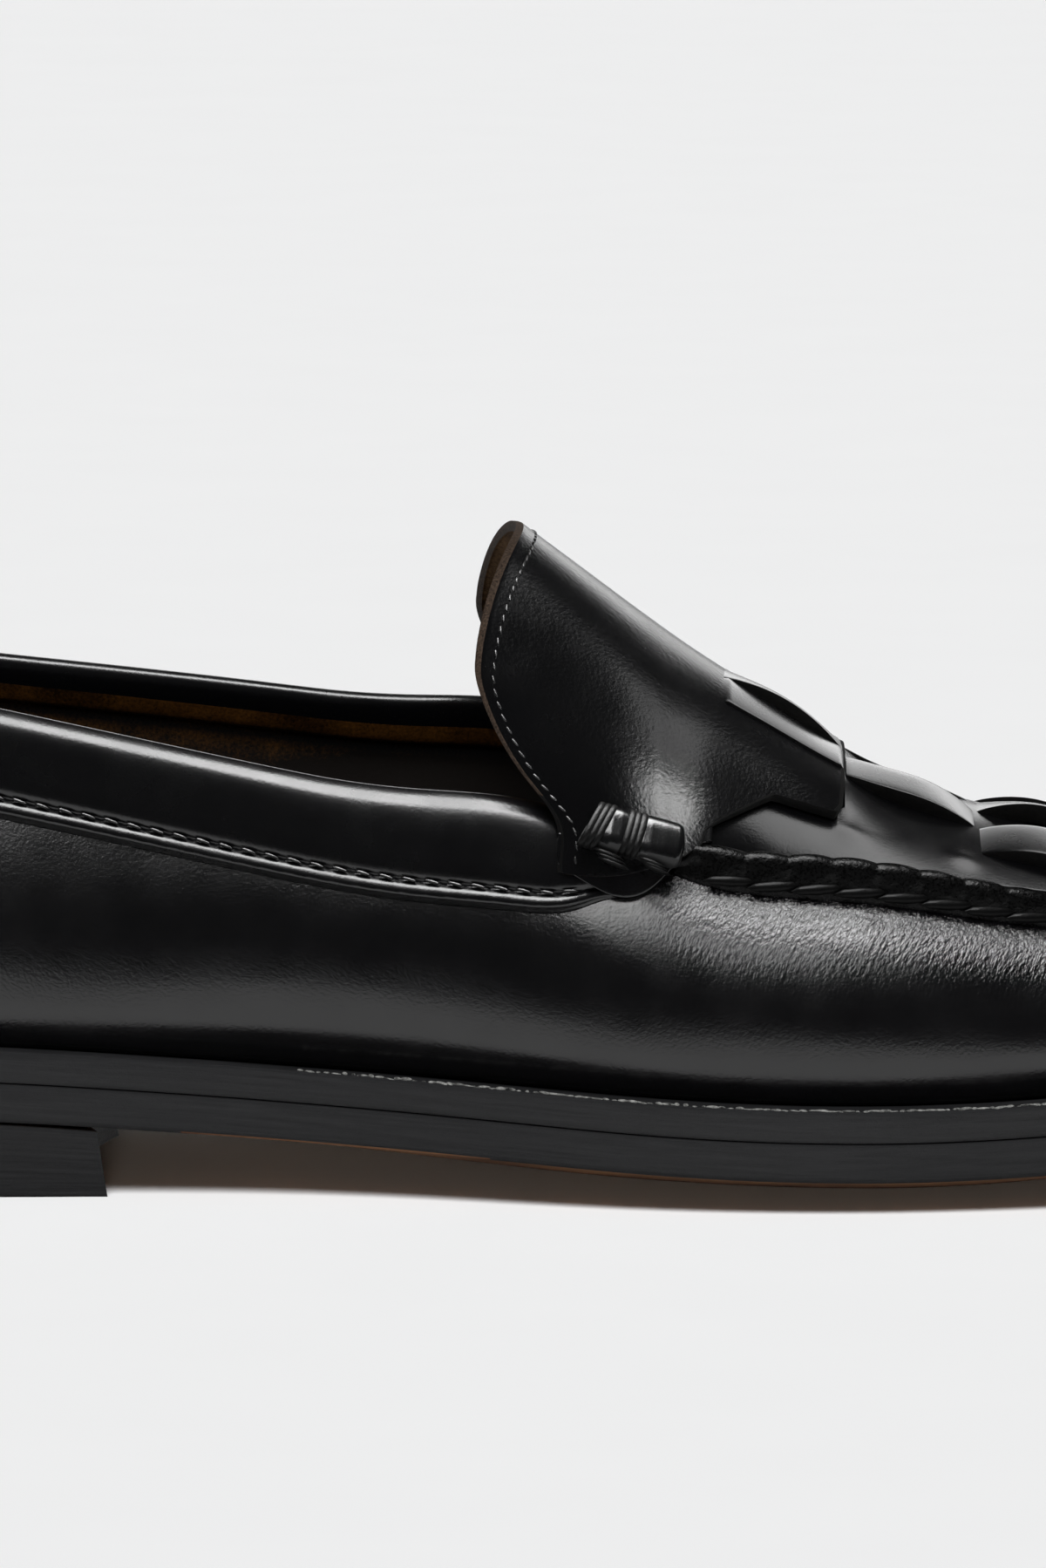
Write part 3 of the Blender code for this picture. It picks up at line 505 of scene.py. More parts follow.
def fill_holes(shape):
    edges = [edge for edge in shape.edges if edge.is_boundary]
    return bmesh.ops.holes_fill(shape, edges=edges, sides=0)["faces"]


def face_outwards(shape):
    bmesh.ops.recalc_face_normals(shape, faces=shape.faces)


def close(shape):
    """Join a shape's seams, cap its open ends and turn its faces outwards."""
    weld(shape)
    fill_holes(shape)
    face_outwards(shape)


def put(name, data):
    """Put an object with its data into the scene."""
    thing = bpy.data.objects.new(name, data)
    bpy.context.collection.objects.link(thing)
    return thing


def make_mesh(name, shape, finishes):
    """Turn a bmesh into a mesh with its materials."""
    mesh = bpy.data.meshes.new(name)
    shape.to_mesh(mesh)
    shape.free()
    for finish in finishes:
        mesh.materials.append(finish)
    return mesh


def make_piece(name, shape, finishes, node=None):
    """Turn a bmesh into a piece of the shoe that rides with it."""
    mesh = make_mesh(name, shape, finishes)
    mesh.shade_smooth()
    mesh.set_sharp_from_angle(angle=SHARP_ANGLE)
    piece = put(name, mesh)
    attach(piece, "root")
    if node:
        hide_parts(node)
    return piece


def thicken(piece, thickness, back=0, rim=0):
    """Give a sheet its thickness on its back side, with materials for the back and the cut rim."""
    wall = piece.modifiers.new("thickness", "SOLIDIFY")
    wall.thickness = thickness * MM
    wall.offset = -1.0
    wall.use_even_offset = False
    wall.material_offset = back
    wall.material_offset_rim = rim


def round_rim(piece, width):
    """Take the sharpness off a piece's cut edges."""
    bevel = piece.modifiers.new("worn edge", "BEVEL")
    bevel.width = width * MM
    bevel.segments = 2
    bevel.limit_method = "ANGLE"
    bevel.angle_limit = RIM_ANGLE


# Materials


NOISE = "ShaderNodeTexNoise"
BUMP = "ShaderNodeBump"
RAMP = "ShaderNodeValToRGB"
RANGE = "ShaderNodeMapRange"
MATH = "ShaderNodeMath"
MAPPING = "ShaderNodeMapping"
TIMES = {"operation": "MULTIPLY"}
# What a pattern lies on: the solid form itself, or the sheet that it was cut from
FORM = {"Vector": ("place", "Object")}
SHEET = {"Vector": ("place", "UV")}


def linear(code):
    """Turn an sRGB hex colour into linear values with full alpha."""
    values = [int(code[k : k + 2], 16) / 255.0 for k in (1, 3, 5)]
    return (*(v / 12.92 if v <= 0.04045 else ((v + 0.055) / 1.055) ** 2.4 for v in values), 1.0)


def per_metre(size_mm):
    """Pattern scale whose features are about size_mm long on Object coordinates."""
    return 1.0 / (size_mm * MM)


def feed(tree, nodes, node, links):
    """Link a node's inputs from named nodes: from their first output, or from the one stated."""
    for socket, source in links.items():
        name, output = source if isinstance(source, tuple) else (source, 0)
        tree.links.new(nodes[name].outputs[output], node.inputs[socket])


def add(tree, nodes, kind, settings, links):
    """Add a node with its settings and links. A ramp's stops are places and colours."""
    made = tree.nodes.new(kind)
    for name, value in settings.items():
        if name == "stops":
            for stop, (position, code) in zip(made.color_ramp.elements, value):
                stop.position = position
                stop.color = linear(code)
        elif name in made.inputs:
            made.inputs[name].default_value = value
        else:
            setattr(made, name, value)
    feed(tree, nodes, made, links)
    return made


def make_material(name, body, parts, ends):
    """A material: the shader's own settings, its named nodes in order, and what feeds the shader."""
    made = bpy.data.materials.new(name)
    made.use_nodes = True
    tree = made.node_tree
    shader = tree.nodes["Principled BSDF"]
    for socket, value in body.items():
        shader.inputs[socket].default_value = value
    nodes = {"place": tree.nodes.new("ShaderNodeTexCoord")}
    for label, part in parts.items():
        nodes[label] = add(tree, nodes, *part)
    feed(tree, nodes, shader, ends)
    return made


def polished_calf(name, roughness=0.2, grain_mm=0.45, grain_depth=0.028, puckered=False):
    # Smooth black calf, waxed and brushed: a soft gloss with broken light on a fine pebbled grain.
    body = {"Base Color": linear("#060607"), "IOR": 1.58}
    polish = {"Coat Weight": 0.15, "Coat Roughness": 0.14, "Coat IOR": 1.45}
    patch_mm = 9.0
    span = {"From Min": 0.3, "From Max": 0.7, "To Min": roughness - 0.03, "To Max": roughness + 0.05}
    parts = {
        "grain": (NOISE, {"Scale": per_metre(grain_mm), "Detail": 3.0, "Roughness": 0.6}, FORM),
        "patches": (NOISE, {"Scale": per_metre(patch_mm), "Detail": 4.0, "Roughness": 0.55}, FORM),
        "gloss": (RANGE, span, {"Value": "patches"}),
        "relief": (BUMP, {"Strength": 1.0, "Distance": grain_depth * MM}, {"Height": "grain"}),
    }
    ends = {"Roughness": "gloss", "Normal": "relief"}
    if puckered:
        parts.update(pucker_parts())
        ends["Normal"] = "puckers"
    return make_material(name, {**body, **polish}, parts, ends)


def pucker_parts():
    """Fine slanting wrinkles below the seam, where the leather is gathered."""
    long_mm, wide_mm, deep_mm, slant = 3.0, 0.72, 0.62, math.radians(20.0)
    wrinkled = {"Scale": 1.0, "Detail": 3.0, "Roughness": 0.55, "Distortion": 0.15}
    depth = {"Strength": 1.0, "Distance": deep_mm * MM}
    return {
        "turned": ("ShaderNodeVectorRotate", {"rotation_type": "Z_AXIS", "Angle": slant}, SHEET),
        "drawn": (MAPPING, {"Scale": (1.0 / wide_mm, 1.0 / long_mm, 1.0)}, {"Vector": "turned"}),
        "ripples": (NOISE, wrinkled, {"Vector": "drawn"}),
        "near": ("ShaderNodeAttribute", {"attribute_name": "gathered"}, {}),
        "height": (MATH, TIMES, {0: "ripples", 1: ("near", "Fac")}),
        "puckers": (BUMP, depth, {"Height": "height", "Normal": "relief"}),
    }


def cut_edge(name, dark, light, fibre_mm=0.5):
    # Raw cut leather: a dry, fibrous edge, darker where the dye ran in.
    parts = {
        "fibres": (NOISE, {"Scale": per_metre(fibre_mm), "Detail": 5.0, "Roughness": 0.7}, FORM),
        "tone": (RAMP, {"stops": ((0.35, dark), (0.72, light))}, {"Fac": "fibres"}),
        "relief": (BUMP, {"Strength": 1.0, "Distance": 0.12 * MM}, {"Height": "fibres"}),
    }
    body = {"Roughness": 0.82, "IOR": 1.45}
    return make_material(name, body, parts, {"Base Color": "tone", "Normal": "relief"})


def suede(name, dark, light, painted_shade=None):
    # Brushed flesh side: no gloss, a short nap that glows at a flat angle.
    body = {"Roughness": 0.95, "IOR": 1.4}
    glow = {"Sheen Weight": 0.25, "Sheen Roughness": 0.4, "Sheen Tint": linear("#B08040")}
    nap_mm, cloud_mm = 0.55, 12.0
    parts = {
        "nap": (NOISE, {"Scale": per_metre(nap_mm), "Detail": 4.0, "Roughness": 0.75}, FORM),
        "cloud": (NOISE, {"Scale": per_metre(cloud_mm), "Detail": 3.0, "Roughness": 0.5}, FORM),
        "both": (MATH, TIMES, {0: "nap", 1: "cloud"}),
        "relief": (BUMP, {"Strength": 1.0, "Distance": 0.1 * MM}, {"Height": "nap"}),
    }
    # Painted shade: below the given heights the nap's tone darkens, so that the lining is dark further down
    # and lighter near the top.
    if painted_shade:
        parts.update(painted_shade_parts(*painted_shade))
    shade = "painted_shade" if painted_shade else "both"
    parts["tone"] = (RAMP, {"stops": ((0.14, dark), (0.42, light))}, {"Fac": shade})
    return make_material(name, {**body, **glow}, parts, {"Base Color": "tone", "Normal": "relief"})


def painted_shade_parts(low, high):
    """Painted shade: fade the nap's tone to its dark end between two heights in millimetres, going down, so
    that the lining is lighter near the top.
    """
    span = {"From Min": low * MM, "From Max": high * MM, "To Min": 0.0, "To Max": 1.0}
    return {
        "spot": ("ShaderNodeSeparateXYZ", {}, FORM),
        "unshaded_share": (RANGE, span, {"Value": ("spot", "Z")}),
        "painted_shade": (MATH, TIMES, {0: "both", 1: "unshaded_share"}),
    }


def inked_edge(name):
    # Trimmed sole leather, inked and waxed: a dull charcoal with fine scratches along the edge.
    long_mm, fine_mm, nick_mm = 26.0, 0.35, 0.7
    scratched = {"Scale": 1.0, "Detail": 5.0, "Roughness": 0.7, "Distortion": 0.2}
    span = {"From Min": 0.3, "From Max": 0.7, "To Min": 0.42, "To Max": 0.6}
    depth = {"Strength": 1.0, "Distance": 0.1 * MM}
    parts = {
        "drawn": (MAPPING, {"Scale": (1.0 / long_mm, 1.0 / fine_mm, 1.0)}, SHEET),
        "scratches": (NOISE, scratched, {"Vector": "drawn"}),
        "tone": (RAMP, {"stops": ((0.3, "#1B1B1C"), (0.75, "#2C2C2D"))}, {"Fac": "scratches"}),
        "gloss": (RANGE, span, {"Value": "scratches"}),
        "nicks": (NOISE, {"Scale": per_metre(nick_mm), "Detail": 4.0, "Roughness": 0.7}, FORM),
        "dents": (BUMP, {"Strength": 1.0, "Distance": 0.12 * MM}, {"Height": "nicks"}),
        "relief": (BUMP, depth, {"Height": "scratches", "Normal": "dents"}),
    }
    ends = {"Base Color": "tone", "Roughness": "gloss", "Normal": "relief"}
    return make_material(name, {"IOR": 1.45, "Roughness": 0.5}, parts, ends)


def oak_bark_leather(name):
    # Natural sole leather: warm tan, close grained, with cloudy stains.
    pore_mm, stain_mm = 0.8, 22.0
    parts = {
        "pores": (NOISE, {"Scale": per_metre(pore_mm), "Detail": 4.0, "Roughness": 0.6}, FORM),
        "stains": (NOISE, {"Scale": per_metre(stain_mm), "Detail": 5.0, "Roughness": 0.6}, FORM),
        "tone": (RAMP, {"stops": ((0.3, "#563620"), (0.72, "#7C5534"))}, {"Fac": "stains"}),
        "relief": (BUMP, {"Strength": 0.7, "Distance": 0.08 * MM}, {"Height": "pores"}),
    }
    body = {"IOR": 1.45, "Roughness": 0.55}
    return make_material(name, body, parts, {"Base Color": "tone", "Normal": "relief"})


def waxed_thread(name, twist_mm=0.5, roughness=0.26, gloss=0.5):
    # Black linen thread drawn through wax: wet-looking strands with small glints.
    body = {"Base Color": linear("#080808"), "Roughness": roughness, "Specular IOR Level": gloss, "IOR": 1.5}
    wax = {"Coat Weight": 0.1, "Coat Roughness": 0.15}
    parts = {
        "strands": (NOISE, {"Scale": per_metre(twist_mm), "Detail": 3.0, "Roughness": 0.7}, FORM),
        "relief": (BUMP, {"Strength": 1.0, "Distance": 0.1 * MM}, {"Height": "strands"}),
    }
    return make_material(name, {**body, **wax}, parts, {"Normal": "relief"})


def studio_floor(name):
    # Seamless pale board: flat and even, without gloss.
    matt = {"Roughness": 1.0, "IOR": 1.3, "Specular IOR Level": 0.0}
    speck_mm = 40.0
    parts = {
        "specks": (NOISE, {"Scale": per_metre(speck_mm), "Detail": 2.0}, FORM),
        "tone": (RAMP, {"stops": ((0.0, "#F2F2F2"), (1.0, "#F4F4F4"))}, {"Fac": "specks"}),
    }
    return make_material(name, matt, parts, {"Base Color": "tone"})


def waxed_seam(name):
    # Two raw edges sewn together and waxed black: nearly matt, with small wet glints.
    body = {"Base Color": linear("#040404"), "IOR": 1.45, "Specular IOR Level": 0.2}
    fleck_mm, lump_mm = 0.5, 2.6
    span = {"From Min": 0.45, "From Max": 0.66, "To Min": 0.4, "To Max": 0.14}
    depth = {"Strength": 1.0, "Distance": 0.35 * MM}
    parts = {
        "flecks": (NOISE, {"Scale": per_metre(fleck_mm), "Detail": 3.0, "Roughness": 0.7}, FORM),
        "lumps": (NOISE, {"Scale": per_metre(lump_mm), "Detail": 3.0, "Roughness": 0.6}, FORM),
        "gloss": (RANGE, span, {"Value": "flecks"}),
        "fine": (BUMP, {"Strength": 1.0, "Distance": 0.05 * MM}, {"Height": "flecks"}),
        "relief": (BUMP, depth, {"Height": "lumps", "Normal": "fine"}),
    }
    return make_material(name, body, parts, {"Roughness": "gloss", "Normal": "relief"})


CALF = polished_calf("polished_calf")
TONGUE_CALF = polished_calf("tongue_calf", roughness=0.24, grain_mm=0.75, grain_depth=0.075)
SEAM_EDGE = waxed_seam("waxed_seam_edge")
VAMP_CALF = polished_calf("gathered_calf", grain_mm=0.6, grain_depth=0.036, puckered=True)
BAND_CALF = polished_calf("collar_calf", roughness=0.25, grain_mm=0.6, grain_depth=0.036)
STRIP_CALF = polished_calf("strip_calf", roughness=0.26)
DULL_CALF = polished_calf("unpolished_calf", roughness=0.62)
DARK_EDGE = cut_edge("dyed_cut_edge", "#040404", "#0E0D0C")
RAW_EDGE = cut_edge("raw_cut_edge", "#0E0A08", "#5A4A3E", fibre_mm=0.35)
PALE_EDGE = cut_edge("pale_cut_edge", "#2E261F", "#A39684", fibre_mm=0.35)
# The lining suede carries painted shade: darker further down inside the shoe, lighter near the collar.
LINING_PAINTED_SHADE = suede("painted_shade_lining_suede", "#080402", "#6A4418", painted_shade=(61.0, 70.0))
# A darker copy of the lining suede for the band's inner flap: painted shade, where the sun falls full on it.
COLLAR_LINING_PAINTED_SHADE = suede("collar_lining_painted_shade", "#070301", "#4C2F10")
FLESH = suede("tongue_flesh_side", "#2A1B10", "#7F6245")
EDGE_INK = inked_edge("inked_sole_edge")
SOLE_TAN = oak_bark_leather("sole_leather")
WORN_EDGE = cut_edge("worn_welt_edge", "#1C1C1C", "#A8A8A4", fibre_mm=1.4)
THREAD = waxed_thread("waxed_thread")
BRIGHT_THREAD = waxed_thread("bright_thread", roughness=0.22, gloss=0.95)
CORD = waxed_thread("waxed_cord", twist_mm=0.45, roughness=0.42, gloss=0.14)
DULL_CORD = waxed_thread("dull_cord", twist_mm=0.7, roughness=0.45, gloss=0.07)


# The upper


def gathered_below_seam(turn, drop):
    """How strongly the leather is gathered: full at the seam, fading down and towards the throat."""
    inside = np.minimum(turn - SEAM_RIB, SEAM_END_RIB - turn)
    ends = np.clip((inside + PUCKER_RUN_OUT) / PUCKER_RUN_OUT, 0.0, 1.0)
    return ends * np.exp(-((drop / PUCKER_REACH) ** 2))


def collar_trim(turn):
    """Share of the wall's height that is cut off below the collar band's fold."""
    from_heel = np.minimum(turn, RIB_COUNT - turn)
    return COLLAR_TRIM * np.clip((THROAT_RIB + TRIM_PAST_THROAT - from_heel) / TRIM_RUN_OUT, 0.0, 1.0)


def foot_tuck(height):
    """How far the wall curls in just above the sole, where it goes under the foot."""
    return FOOT_TUCK * np.clip(1.0 - height / FOOT_TUCK_HEIGHT, 0.0, 1.0) ** 2


def make_wall():
    """The leather wall round heel and toe, with puckers below the seam and the lining inside."""
    columns, rows = 600, 64
    marks = {}

    def place(u, v):
        turn = u * RIB_COUNT
        share = v * (1.0 - collar_trim(turn))
        points = wall_point(turn, share)
        top = wall_point(turn, np.ones_like(v))
        foot = wall_point(turn, np.zeros_like(v))
        drop = np.linalg.norm(top - points, axis=1)
        gathered = gathered_below_seam(turn, drop)
        marks["gathered"] = gathered
        pull = (stitch_wave(turn) - WAVE_MEAN) * PUCKER_DEPTH * gathered
        side = raised(outward(turn, "foot_x", "foot_y"), np.zeros(len(turn)))
        tuck = foot_tuck(points[:, 2] - foot[:, 2])
        return points + wall_normal(turn, share) * pull[:, None] - side * tuck[:, None]

    shape = bmesh.new()
    mark = shape.verts.layers.float.new("gathered")
    corners, _ = add_grid(shape, columns, rows, place, (700.0, 70.0))
    for corner, amount in zip(corners, marks["gathered"]):
        corner[mark] = amount
    weld(shape)
    piece = make_piece("upper_wall", shape, [VAMP_CALF, LINING_PAINTED_SHADE], "upper")
    thicken(piece, UPPER_WALL, back=1)


RIDGE_START = SEAM_RIB - 0.2
RIDGE_END = SEAM_END_RIB + 0.2
RIDGE_RUN_IN = 0.15
RIDGE_LOW_END = 0.3
RIDGE_THICKNESS = 0.8
RIDGE_BULGE = 0.75
RIDGE_SCALLOP = 0.5
SCALLOP_MEAN = 0.7
# How much taller or lower than its plain section the ridge stands, along the shoe
RIDGE_STATIONS = (168.0, 190.0, 212.0, 228.0, 250.0, 275.0)
RIDGE_SHARES = (1.12, 1.22, 1.13, 0.96, 0.94, 0.94)


def ridge_place(turn, inward, upward):
    along = rib_at(turn)["top_x"]
    upward = upward * np.interp(along, RIDGE_STATIONS, RIDGE_SHARES)
    wave = stitch_wave(turn)
    height = np.clip(upward / SEAM_HEIGHT, 0.0, 1.0)
    bulge = RIDGE_BULGE * (wave - WAVE_MEAN) * np.sin(math.pi * np.clip(height, 0.08, 0.92))
    scallop = RIDGE_SCALLOP * (wave - SCALLOP_MEAN) * height**2
    start = np.clip(np.minimum(turn - RIDGE_START, RIDGE_END - turn) / RIDGE_RUN_IN, 0.0, 1.0)
    full = RIDGE_LOW_END + (1.0 - RIDGE_LOW_END) * start
    return seam_edge(turn, inward - bulge, (upward + scallop) * full)


def make_ridge():
    """The raised moccasin seam: the wall's edge stands up against the apron's."""
    inward, upward = np.array(RIDGE_SECTION).T
    steps = np.arange(len(RIDGE_SECTION), dtype=float)
    inward_line = smooth_line(steps, inward)
    upward_line = smooth_line(steps, upward)

    def place(u, v):
        turn = RIDGE_START + u * (RIDGE_END - RIDGE_START)
        at = v * steps[-1]
        return ridge_place(turn, inward_line(at), upward_line(at))

    shape = bmesh.new()
    add_grid(shape, 720, 26, place, (SEAM_LENGTHS[-1], 14.0))
    piece = make_piece("seam_ridge", shape, [SEAM_EDGE])
    thicken(piece, RIDGE_THICKNESS)


# Small swellings beside the ends of the slits, where the strips pull: place along and across
DIMPLES = ((195.6, 27.5), (215.0, 26.0))
DIMPLE_SIZE = 2.4
DIMPLE_RISE = 0.45

# The apron rises to the tongue's level just in front of the tongue's straight end
SHOULDER_START = 194.75
SHOULDER_RUN = 11.0
SHOULDER_RISE = 1.7
SHOULDER_FAN = 0.74
SHOULDER_FADE = 0.3


def shoulder(x, fan):
    run = np.clip(1.0 - (x - SHOULDER_START) / SHOULDER_RUN, 0.0, 1.0) ** 2
    inside = np.clip((SHOULDER_FAN - np.abs(fan)) / SHOULDER_FADE, 0.0, 1.0)
    return SHOULDER_RISE * run * inside * (x > SHOULDER_START)


def make_apron():
    """The plain leather of the apron, from the throat to the toe, that the strips are woven over."""

    def place(u, v):
        fan = 2.0 * u - 1.0
        turn = SEAM_RIB + (TOE_RIB - SEAM_RIB) * v
        lateral = seam_edge(turn, SEAM_WIDTH, SEAM_HEIGHT)
        medial = seam_edge(2 * TOE_RIB - turn, SEAM_WIDTH, SEAM_HEIGHT)
        middle = (lateral + medial) / 2.0
        crown = np.maximum(crown_height(middle[:, 0]), middle[:, 2])
        points = arch_point(lateral, medial, crown, fan)
        for x, y in DIMPLES:
            away = np.hypot(points[:, 0] - x, np.abs(points[:, 1]) - y)
            points[:, 2] += DIMPLE_RISE * np.exp(-((away / DIMPLE_SIZE) ** 2))
        points[:, 2] += shoulder(points[:, 0], fan)
        return points

    shape = bmesh.new()
    add_grid(shape, 120, 150, place, (75.0, 105.0))
    bmesh.ops.reverse_faces(shape, faces=shape.faces)
    weld(shape)
    piece = make_piece("apron", shape, [CALF, LINING_PAINTED_SHADE])
    thicken(piece, UPPER_WALL, back=1)


def strip_grid(shape, row, name, lift, rise, side, flat=False):
    """One strip of the weave, which comes up at one slit and dives at the next."""
    start, end = row["start"], row["end"]
    inner, outer = STRIP_COLUMNS[name]
    tilt = 0.0 if flat else STRIP_TILT[name]

    def place(u, v):
        x = start + (end - start) * u
        squeeze = np.minimum(1.0, (medial_y(x) - lateral_y(x)) / 2.0 / WEAVE_HALF_WIDTH)
        width = side * (inner + (outer - inner) * v) * squeeze
        fan = fan_for_width(x, width)
        arc = np.abs(np.sin(math.pi * u)) ** 0.8
        hump = np.clip(np.minimum(u, 1.0 - u) / STRIP_FLAT_RAMP, 0.0, 1.0) if flat else arc
        crown = STRIP_CROWN * (1.0 - (2.0 * v - 1.0) ** 4) + tilt * (1.0 - 2.0 * v)
        height = lift - STRIP_DIVE + (STRIP_DIVE + rise + crown) * hump
        if lift == 0.0:
            height = height + shoulder(x, fan)
        return instep_point(x, fan) + instep_normal(x, fan) * height[:, None]

    _, faces = add_grid(shape, 40, 14, place, (end - start, abs(outer - inner)))
    if side < 0:
        bmesh.ops.reverse_faces(shape, faces=list(faces))
    if flat:
        for face in faces:
            along = face.calc_center_median().x / MM + ORIGIN[0] - start
            face.material_index = 2 if along < STRIP_RAW_END else 0


def make_strips():
    """The woven strips that lie on top, row by row, each with its cut edges."""
    shape = bmesh.new()
    on_tongue = TONGUE_LIFT + TONGUE_THICKNESS
    for number, row in enumerate(WOVEN_ROWS):
        lift, rise = (on_tongue, STRIP_RISE_ON_TONGUE) if number == 0 else (0.0, STRIP_RISE)
        for name in row["over"]:
            sides = (1.0,) if name == "middle" else (-1.0, 1.0)
            for side in sides:
                behind = name == "inner" and side > 0.0
                height = STRIP_RISE_INSIDE if behind else rise
                strip_grid(shape, row, name, lift, height, side)
    for side in (-1.0, 1.0):
        rise = STRIP_FLAT_RISE if side < 0.0 else 0.0
        strip_grid(shape, WOVEN_ROWS[0], "inner", on_tongue, rise, side, flat=True)
    finishes = [STRIP_CALF, DARK_EDGE, PALE_EDGE, DARK_EDGE]
    piece = make_piece("woven_strips", shape, finishes)
    thicken(piece, STRIP_THICKNESS, back=1, rim=1)
    round_rim(piece, STRIP_RIM)


# The tongue


TONGUE_STEPS = np.arange(len(TONGUE_LINES), dtype=float)
BACK_FANS, BACK_PLACES, FRONT_FANS, FRONT_PLACES = np.array(TONGUE_LINES).T
tongue_back_fan = smooth_line(TONGUE_STEPS, BACK_FANS)
tongue_back_x = smooth_line(TONGUE_STEPS, BACK_PLACES)


def tongue_spot(line, share):
    """Station and fan of the tongue at a line, negative on the outer side, and a share of its length."""
    size = np.abs(line)
    front_fan = np.interp(size, TONGUE_STEPS, FRONT_FANS)
    front_x = np.interp(size, TONGUE_STEPS, FRONT_PLACES)
    back_fan = tongue_back_fan(size)
    back_x = tongue_back_x(size)
    x = back_x + (front_x - back_x) * share
    fan = np.sign(line) * (back_fan + (front_fan - back_fan) * share)
    return x, fan


def tongue_point(line, share, lift):
    x, fan = tongue_spot(line, share)
    return instep_point(x, fan) + instep_normal(x, fan) * np.reshape(lift, (-1, 1))


def make_tongue():
    """The standing shield, dyed on its face, raw at its cut edges and brown on its flesh side."""
    last = TONGUE_STEPS[-1]
    edge_rows, columns, rows = 3, 160, 90

    def place(u, v):
        line = (2.0 * u - 1.0) * last
        back_x, _ = tongue_spot(line, np.zeros(len(u)))
        front_x, _ = tongue_spot(line, np.ones(len(u)))
        first = TONGUE_EDGE / (front_x - back_x)
        row = v * rows
        inner = first + (1.0 - first) * np.clip((row - edge_rows) / (rows - edge_rows), 0.0, 1.0)
        share = np.where(row < edge_rows + 0.5, first * row / edge_rows, inner)
        along = share * (front_x - back_x)
        worn = TONGUE_WEAR * np.clip(1.0 - along / TONGUE_EDGE, 0.0, 1.0) ** 1.5
        return tongue_point(line, share, TONGUE_LIFT + TONGUE_THICKNESS - worn)

    shape = bmesh.new()
    corners, faces = add_grid(shape, columns, rows, place, (100.0, 58.0))
    row_length = columns + 1
    back = set(corners[: edge_rows * row_length])
    front = set(corners[rows * row_length :])
    for face in faces:
        if front.intersection(face.verts):
            face.material_index = 6
        elif back.intersection(face.verts):
            low = face.calc_center_median().z / MM < TONGUE_RAW_ABOVE
            face.material_index = 6 if low else 3
    bmesh.ops.reverse_faces(shape, faces=shape.faces)
    finishes = [TONGUE_CALF, FLESH, RAW_EDGE, RAW_EDGE, FLESH, RAW_EDGE, DARK_EDGE, FLESH, DARK_EDGE]
    piece = make_piece("tongue_shield", shape, finishes, "tongue")
    thicken(piece, TONGUE_THICKNESS, back=1, rim=2)
    round_rim(piece, TONGUE_RIM)


# The collar band


def drop_to_share(turn, drop):
    """Rib shares that lie drop millimetres below the wall's top edge."""
    samples = np.linspace(0.35, 1.0, 50)
    shares = np.empty(len(turn))
    for spot in np.unique(turn):
        here = turn == spot
        rib = wall_point(np.full(len(samples), spot), samples)
        lengths = run_lengths(rib)
        shares[here] = np.interp(lengths[-1] - drop[here], lengths, samples)
    return shares


def band_point(turn, drop, lift):
    """Points of the collar band, by drop below the wall's top edge and lift off its outer face."""
    share = drop_to_share(turn, np.maximum(drop, 0.0))
    normal = wall_normal(turn, share)
    level = normal * np.array([1.0, 1.0, 0.0])
    above = np.clip(-drop, 0.0, None)
    weight = np.clip(drop / BAND_LEAN_DEPTH, 0.0, 1.0)[:, None]
    lean = level * (1.0 - weight) + normal * weight
    forward = np.clip((np.abs(turn) - THROAT_RIB + RISE_BEFORE_THROAT) / RISE_RUN, 0.0, 1.0)
    fade = np.clip(1.0 - drop / COLLAR_RISE_DEPTH, 0.0, 1.0)
    rise = COLLAR_RISE * forward**2 * (3.0 - 2.0 * forward) * fade
    return wall_point(turn, share) + lean * lift[:, None] + UP * (above + rise)[:, None]


# The band's depth towards its front ends, where it runs in under the tongue's foot
BAND_DEPTH_TURNS = (0.0, 3.0, 5.2, 5.6, 6.0, 6.2, 6.42)
BAND_DEPTH_SHARES = (1.0, 1.0, 1.0, 0.99, 0.87, 0.68, 0.5)
band_depth = smooth_line(BAND_DEPTH_TURNS, BAND_DEPTH_SHARES)


def band_drop(turn, drop):
    return drop * band_depth(np.abs(turn))


BAND_END = THROAT_RIB + 0.42
BAND_TAPER_RUN = 0.5
BAND_TAPER_LEAST = 0.12


def band_taper(turn):
    """1 along the collar, falling where the band runs in under the tongue's foot."""
    return np.clip((BAND_END - np.abs(turn)) / BAND_TAPER_RUN, BAND_TAPER_LEAST, 1.0)


BAND_SAMPLES = np.linspace(-THROAT_RIB - 0.1, THROAT_RIB + 0.1, 600)
BAND_STITCH_LINE_DROP = band_drop(BAND_SAMPLES, np.full(len(BAND_SAMPLES), BAND_STITCH_DROP))
BAND_STITCH_LINE = band_point(
    BAND_SAMPLES, BAND_STITCH_LINE_DROP, np.full(len(BAND_SAMPLES), BAND_STITCH_LIFT)
)
BAND_LENGTHS = run_lengths(BAND_STITCH_LINE)


def band_length(turn):
    """Distance along the band's stitch line."""
    return np.interp(turn, BAND_SAMPLES, BAND_LENGTHS)


